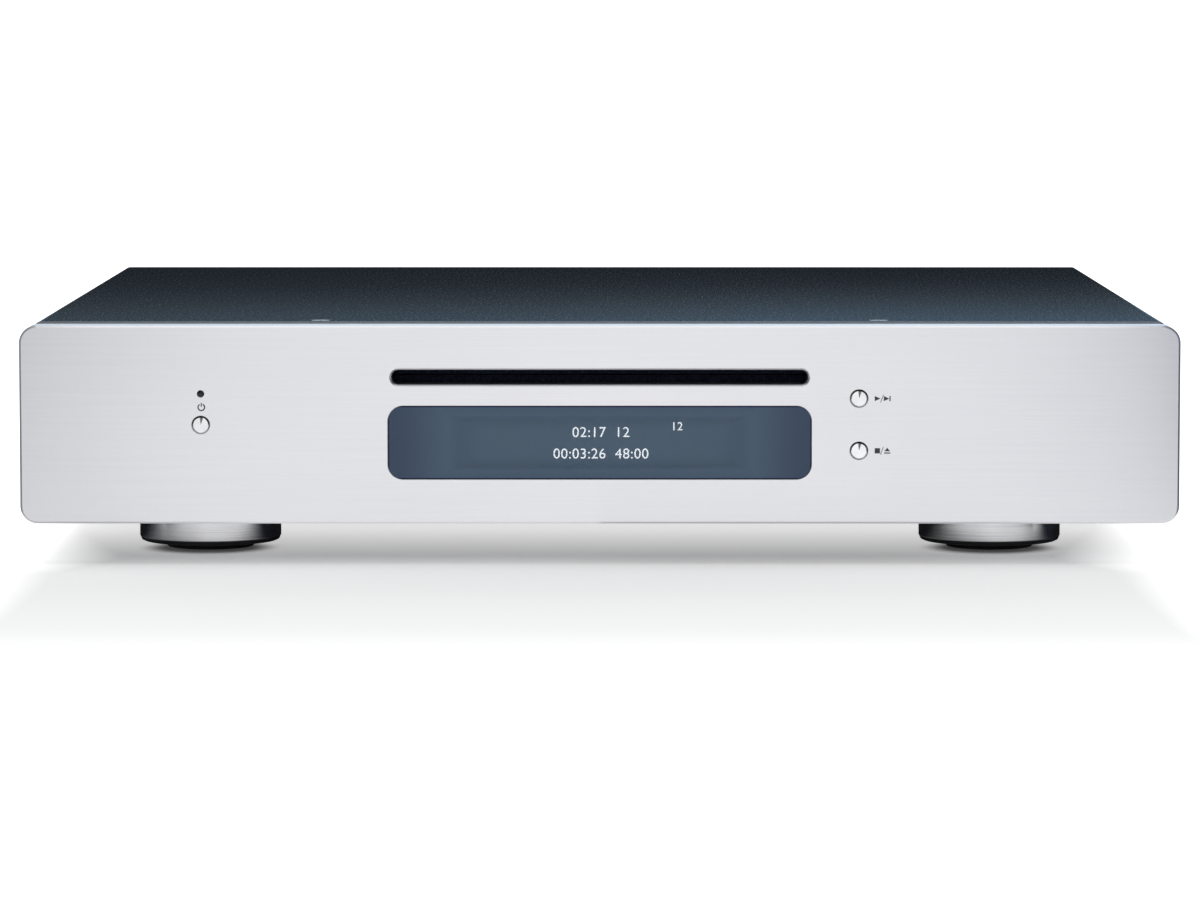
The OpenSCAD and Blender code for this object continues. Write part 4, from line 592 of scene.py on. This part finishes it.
# ---- Printed symbols ----
# Dark grey epoxy ink, screen printed on the panel beside the buttons: a standby mark, play and
# skip, stop and eject. The film of ink is 0.03 mm thick, and the thin dividers print lighter.
print_ink = grained("dark grey screen printing ink", ("#46474f", "#55565e"), 0.2, (0.5, 0.62), 0.004)
light_ink = grained("light grey screen printing ink", ("#63646c", "#73747c"), 0.2, (0.5, 0.62), 0.004)
INK = 0.03


def film(name, outlines, face, finish, thick=INK):
    """Flat shapes on the case, outlined in X and Z. They end at a face at Y and reach forward of it."""
    bm = bmesh.new()
    for outline in outlines:
        near = [bm.verts.new(Vector((x, face - thick, z)) * MM) for x, z in outline]
        far = [bm.verts.new(Vector((x, face, z)) * MM) for x, z in outline]
        bm.faces.new(near)
        bm.faces.new(far)
        for i in range(len(outline)):
            j = (i + 1) % len(outline)
            bm.faces.new((near[i], near[j], far[j], far[i]))
    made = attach(loose(name, bm, finish), "case")


def band(x, z, inner, outer, start_angle, sweep, steps=40):
    """The outline of part of a ring, angles in degrees from the right."""
    turn = [math.radians(start_angle + sweep * i / steps) for i in range(steps + 1)]
    return ([(x + outer * math.cos(a), z + outer * math.sin(a)) for a in turn]
            + [(x + inner * math.cos(a), z + inner * math.sin(a)) for a in reversed(turn)])


def bar(x, z, width, tall):
    """The outline of an upright rectangle around its middle."""
    return [(x - width / 2, z - tall / 2), (x + width / 2, z - tall / 2),
            (x + width / 2, z + tall / 2), (x - width / 2, z + tall / 2)]


standby, play, stop = (sum(corners(f"{name}_button"), Vector()) / 2 for name in ("standby", "play", "stop"))

mark_x, mark_z = standby.x + 0.2, standby.z + 5.35
film("standby_mark", [band(mark_x, mark_z, 0.80, 1.18, 118, 304), bar(mark_x, mark_z + 0.72, 0.34, 1.2)],
     panel_face, print_ink)
mark_x, mark_z = play.x + 4.7, play.z
film("play_mark", [
    [(mark_x, mark_z - 0.78), (mark_x + 1.7, mark_z), (mark_x, mark_z + 0.78)],
    [(mark_x + 2.75, mark_z - 0.78), (mark_x + 4.35, mark_z), (mark_x + 2.75, mark_z + 0.78)],
    bar(mark_x + 4.6, mark_z, 0.36, 1.56)], panel_face, print_ink)
film("mark_dividers", [[(mark_x + 1.66, z - 1.15), (mark_x + 1.88, z - 1.15), (mark_x + 2.78, z + 1.15),
                        (mark_x + 2.56, z + 1.15)] for z in (play.z, stop.z)], panel_face, light_ink)
mark_z = stop.z
film("stop_mark", [
    bar(mark_x + 0.85, mark_z, 1.6, 1.6),
    [(mark_x + 2.95, mark_z - 0.12), (mark_x + 4.7, mark_z - 0.12), (mark_x + 3.825, mark_z + 0.92)],
    bar(mark_x + 3.825, mark_z - 0.66, 1.95, 0.34)], panel_face, print_ink)


# ---- Push buttons ----
# Turned aluminium caps with spun faces, clear anodised. Rings from the lathe, cut about 0.05 mm apart and
# drawn 0.3 mm apart, fan the light out from the centre. One dark wedge upward from the centre is a painted
# reflection, and the edge of the face is darkened as painted shade, most of all at the top.
cap_low, cap_high = corners("standby_button")
cap_span = cap_high.x - cap_low.x
spun_cap, tree, place = start("spun clear anodised aluminium")
own = add(tree, "ShaderNodeTexCoord")
centred = add(tree, "ShaderNodeVectorMath", {"operation": "SUBTRACT", 1: (0.5, 0.5, 0.5)}, {
    0: (own, "Generated")})
face = add(tree, "ShaderNodeVectorMath", {"operation": "MULTIPLY", 1: (cap_span, 0.0, cap_span)}, {
    0: (centred, 0)})
radius = add(tree, "ShaderNodeVectorMath", {"operation": "LENGTH"}, {0: (face, 0)})
rings = add(tree, "ShaderNodeTexNoise", {"noise_dimensions": "1D", "Scale": 3.4, "Detail": 2.0}, {
    "W": (radius, "Value")})
bare = add(tree, "ShaderNodeValToRGB", {"stops": [(0.3, "#f2f2f4"), (0.7, "#ffffff")]}, {
    "Fac": (rings, "Fac")})
split = add(tree, "ShaderNodeSeparateXYZ", links={0: (face, 0)})
# Painted reflection: a dark wedge just past straight up from the centre.
turn = add(tree, "ShaderNodeMath", {"operation": "ARCTAN2"}, {0: (split, "X"), 1: (split, "Z")})
swing = add(tree, "ShaderNodeMath", {"operation": "SUBTRACT", 1: math.radians(6)}, {0: (turn, 0)})
swing = add(tree, "ShaderNodeMath", {"operation": "ABSOLUTE"}, {0: (swing, 0)})
fan = add(tree, "ShaderNodeMapRange", {
    "interpolation_type": "SMOOTHSTEP", "From Min": math.radians(6), "From Max": math.radians(19)}, {
    "Value": (swing, 0)})
painted_reflection_wedge = add(tree, "ShaderNodeMapRange", {"To Min": 0.16, "To Max": 1.0}, {"Value": (fan, 0)})
# Painted shade: the face darkens toward an edge circle set 0.22 mm low, so most at the top.
low_centre = add(tree, "ShaderNodeVectorMath", {"operation": "ADD", 1: (0.0, 0.0, 0.22)}, {0: (face, 0)})
reach = add(tree, "ShaderNodeVectorMath", {"operation": "LENGTH"}, {0: (low_centre, 0)})
painted_rim_shade = add(tree, "ShaderNodeMapRange", {
    "interpolation_type": "SMOOTHSTEP", "From Min": 2.3, "From Max": 2.55, "To Min": 1.0, "To Max": 0.04}, {
    "Value": (reach, "Value")})
painted_darkening = add(tree, "ShaderNodeMath", {"operation": "MULTIPLY"}, {0: (painted_rim_shade, 0), 1: (painted_reflection_wedge, 0)})
tone = add(tree, "ShaderNodeMix", {"data_type": "RGBA", "blend_type": "MULTIPLY", 0: 1.0}, {
    6: (bare, "Color"), 7: (painted_darkening, 0)})
relief = add(tree, "ShaderNodeBump", {"Strength": 0.2, "Distance": 0.01 * MM}, {"Height": (rings, "Fac")})
around = add(tree, "ShaderNodeTangent", {"direction_type": "RADIAL", "axis": "Y"})
shader = add(tree, "ShaderNodeBsdfPrincipled", {
    "Metallic": 1.0, "Anisotropic": 0.5, "Anisotropic Rotation": 0.25, "Roughness": 0.2}, {
    "Base Color": (tone, 2), "Normal": (relief, 0), "Tangent": (around, 0)})
add(tree, "ShaderNodeOutputMaterial", links={"Surface": (shader, 0)})
dress(["standby_button", "play_button", "stop_button"], spun_cap)

# Each cap runs in a grey nylon ring, pressed into the panel a little below its face. The ring's tone is
# painted: painted shade, near black, above, and painted light, near white, below.
shaded_nylon_ring, tree, place = start("moulded grey nylon ring")
own = add(tree, "ShaderNodeTexCoord")
split = add(tree, "ShaderNodeSeparateXYZ", links={0: (own, "Generated")})
grain = add(tree, "ShaderNodeTexNoise", {"Scale": 12.0}, {"Vector": (own, "Generated")})
height = add(tree, "ShaderNodeMath", {"operation": "MULTIPLY_ADD", 1: 0.12}, {
    0: (grain, "Fac"), 2: (split, "Z")})
# Painted shade above and painted light below, by height on the ring.
tone = add(tree, "ShaderNodeValToRGB", {"stops": [
    (0.0, "#f0f0f2"), (0.3, "#d0d0d2"), (0.62, "#4a4a4c"), (0.8, "#0c0c0d"),
]}, {"Fac": (height, 0)})
shader = add(tree, "ShaderNodeBsdfPrincipled", {"Roughness": 0.6, "IOR": 1.53}, {
    "Base Color": (tone, "Color")})
add(tree, "ShaderNodeOutputMaterial", links={"Surface": (shader, 0)})
GUIDE_INNER, GUIDE_OUTER, GUIDE_THICK, GUIDE_DEEP = 2.56, 2.79, 0.4, 0.2
for name, centre in (("standby_guide", standby), ("play_guide", play), ("stop_guide", stop)):
    halves = [band(centre.x, centre.z, GUIDE_INNER, GUIDE_OUTER, angle, 180) for angle in (0, 180)]
    film(name, halves, panel_face + GUIDE_DEEP + GUIDE_THICK, shaded_nylon_ring, GUIDE_THICK)


# ---- Rear panel and its sockets ----
# Folded steel sheet in a dark satin powder coat. The mains inlet, switch, phono block and optical
# socket are moulded in black ABS, and the video socket is pressed steel. Pins and phono shells
# are turned brass, flash gold plated.
rear_paint = grained("dark satin powder coat", ("#262b2e", "#2e3437"), 0.7, (0.42, 0.54), 0.01,
                     patch=60.0, IOR=1.5)
dress(["rear_panel"], rear_paint)
dress(["mains_inlet", "mains_switch", "mains_rocker"], black_abs, 0.2)
dress(["phono_block", "optical_socket"], black_abs)
dress(["video_socket"], nickel_steel)
gold_plate = grained("flash gold plated brass", ("#b48a3c", "#d9b262"), 0.3, (0.16, 0.28), 0.005,
                     metallic=1.0)
dress(["phono_shells", "inlet_pins"], gold_plate)
rear_face = corners("rear_panel")[1].y


# ---- Phono rings ----
# Moulded rings pushed over the shells onto the block's collars, in the usual colours: green, blue
# and red for the picture, white and red for sound, and orange for the digital signal.
RING_INNER, RING_OUTER, RING_THICK = 4.25, 4.95, 0.25
COLLAR_STAND = 1.4
ring_face = rear_face + COLLAR_STAND + RING_THICK
ring_tones = {"orange": "#d8681c", "red": "#a81c20", "white": "#dfdfda",
              "blue": "#1f4c9c", "green": "#1c7a3c"}
ring_finish = {colour: grained(f"{colour} moulded ring", (tone, tone), 0.3, (0.35, 0.5), 0.01, IOR=1.53)
               for colour, tone in ring_tones.items()}
ring_colours = {"phono_1": "orange", "phono_2": "red", "phono_3": "white",
                "phono_4": "red", "phono_5": "blue", "phono_6": "green"}
for mount in frame["record"]["mounts"]:
    socket = mount["name"].removesuffix("_shell")
    if socket in ring_colours:
        x, z = mount["pos_m"][0] / MM, mount["pos_m"][2] / MM
        halves = [band(x, z, RING_INNER, RING_OUTER, angle, 180) for angle in (0, 180)]
        film(f"{socket}_ring", halves, ring_face, ring_finish[ring_colours[socket]],
             RING_THICK)


# ---- Rating label ----
# Bare silver polyester film, glued to the rear panel, with a printed border and nothing in it.
label_film = grained("silver polyester label", ("#b9bbbd", "#c6c8ca"), 0.4, (0.3, 0.4), 0.004, metallic=0.6)
LABEL_X, LABEL_Z, LABEL_W, LABEL_H, LABEL_THICK = 31.0, 51.0, 42.0, 15.0, 0.1
BORDER_IN, BORDER = 1.0, 0.5
label_face = rear_face + LABEL_THICK
film("rating_label", [bar(LABEL_X, LABEL_Z, LABEL_W, LABEL_H)], label_face, label_film,
     LABEL_THICK)
half_w, half_h = LABEL_W / 2 - BORDER_IN, LABEL_H / 2 - BORDER_IN
film("label_border",
     [bar(LABEL_X, LABEL_Z + side * half_h, 2 * half_w + BORDER, BORDER) for side in (-1, 1)]
     + [bar(LABEL_X + side * half_w, LABEL_Z, BORDER, 2 * half_h - BORDER) for side in (-1, 1)],
     label_face + INK, print_ink)


# ---- Feet ----
# Turned steel cups, bright plated, with a rolled lower rim, screwed on over the rubber pads.
# Lathe rings run level round the side, drawn 0.25 mm apart.
foot_metal, tree, place = start("turned and bright plated steel")
turned = add(tree, "ShaderNodeVectorMath", {"operation": "MULTIPLY", 1: (0.02, 0.02, 4.0)}, {0: (place, 0)})
rings = add(tree, "ShaderNodeTexNoise", {"Scale": 1.0, "Detail": 3.0}, {"Vector": (turned, 0)})
tone = add(tree, "ShaderNodeValToRGB", {"stops": [(0.3, "#c4c4c7"), (0.7, "#dededf")]}, {
    "Fac": (rings, "Fac")})
rough = add(tree, "ShaderNodeMapRange", {"To Min": 0.10, "To Max": 0.2}, {"Value": (rings, "Fac")})
relief = add(tree, "ShaderNodeBump", {"Strength": 0.2, "Distance": 0.01 * MM}, {"Height": (rings, "Fac")})
shader = add(tree, "ShaderNodeBsdfPrincipled", {"Metallic": 1.0}, {
    "Base Color": (tone, "Color"), "Roughness": (rough, 0), "Normal": (relief, 0)})
add(tree, "ShaderNodeOutputMaterial", links={"Surface": (shader, 0)})
dress(["feet"], foot_metal)
dress(["foot_pads"], black_rubber)


# ---- Cover and its screws ----
# Folded 1.2 mm steel sheet with a fine slate powder coat, which flows out to a soft orange peel about 0.7 mm
# across, with a satin gloss. A thin band of bare steel along the sharp front top edge is a painted highlight
# of that edge.
cover_paint, tree, place = start("satin slate powder coat")
coat = worked(tree, place, ("#1c2932", "#222f39"), 0.7, (0.23, 0.30), 0.005, patch=70.0, IOR=1.5)
cover_low, cover_high = corners("top_cover")
axes = add(tree, "ShaderNodeSeparateXYZ", links={0: (place, 0)})
# Painted highlight: bare steel in a band along the front top edge.
front_edge = add(tree, "ShaderNodeMapRange", {
    "From Min": cover_low.y + 0.38, "From Max": cover_low.y + 0.32}, {"Value": (axes, "Y")})
top_edge = add(tree, "ShaderNodeMapRange", {
    "From Min": cover_high.z - 0.24, "From Max": cover_high.z - 0.16}, {"Value": (axes, "Z")})
painted_edge_highlight = add(tree, "ShaderNodeMath", {"operation": "MULTIPLY"}, {0: (front_edge, 0), 1: (top_edge, 0)})
steel = add(tree, "ShaderNodeBsdfPrincipled", {
    "Base Color": srgb("#c8cacd"), "Metallic": 1.0, "Roughness": 0.5})
shader = add(tree, "ShaderNodeMixShader", links={0: (painted_edge_highlight, 0), 1: (coat, 0), 2: (steel, 0)})
add(tree, "ShaderNodeOutputMaterial", links={"Surface": (shader, 0)})
dress(["top_cover"], cover_paint, 0.25)
# Satin nickel plate on the countersunk and pan head screws that hold the case together.
satin_nickel = grained("satin nickel plated screws", ("#c4c6c8", "#dcdddd"), 0.2, (0.58, 0.7), 0.006,
                       metallic=1.0)
dress(["case_screws"], satin_nickel)
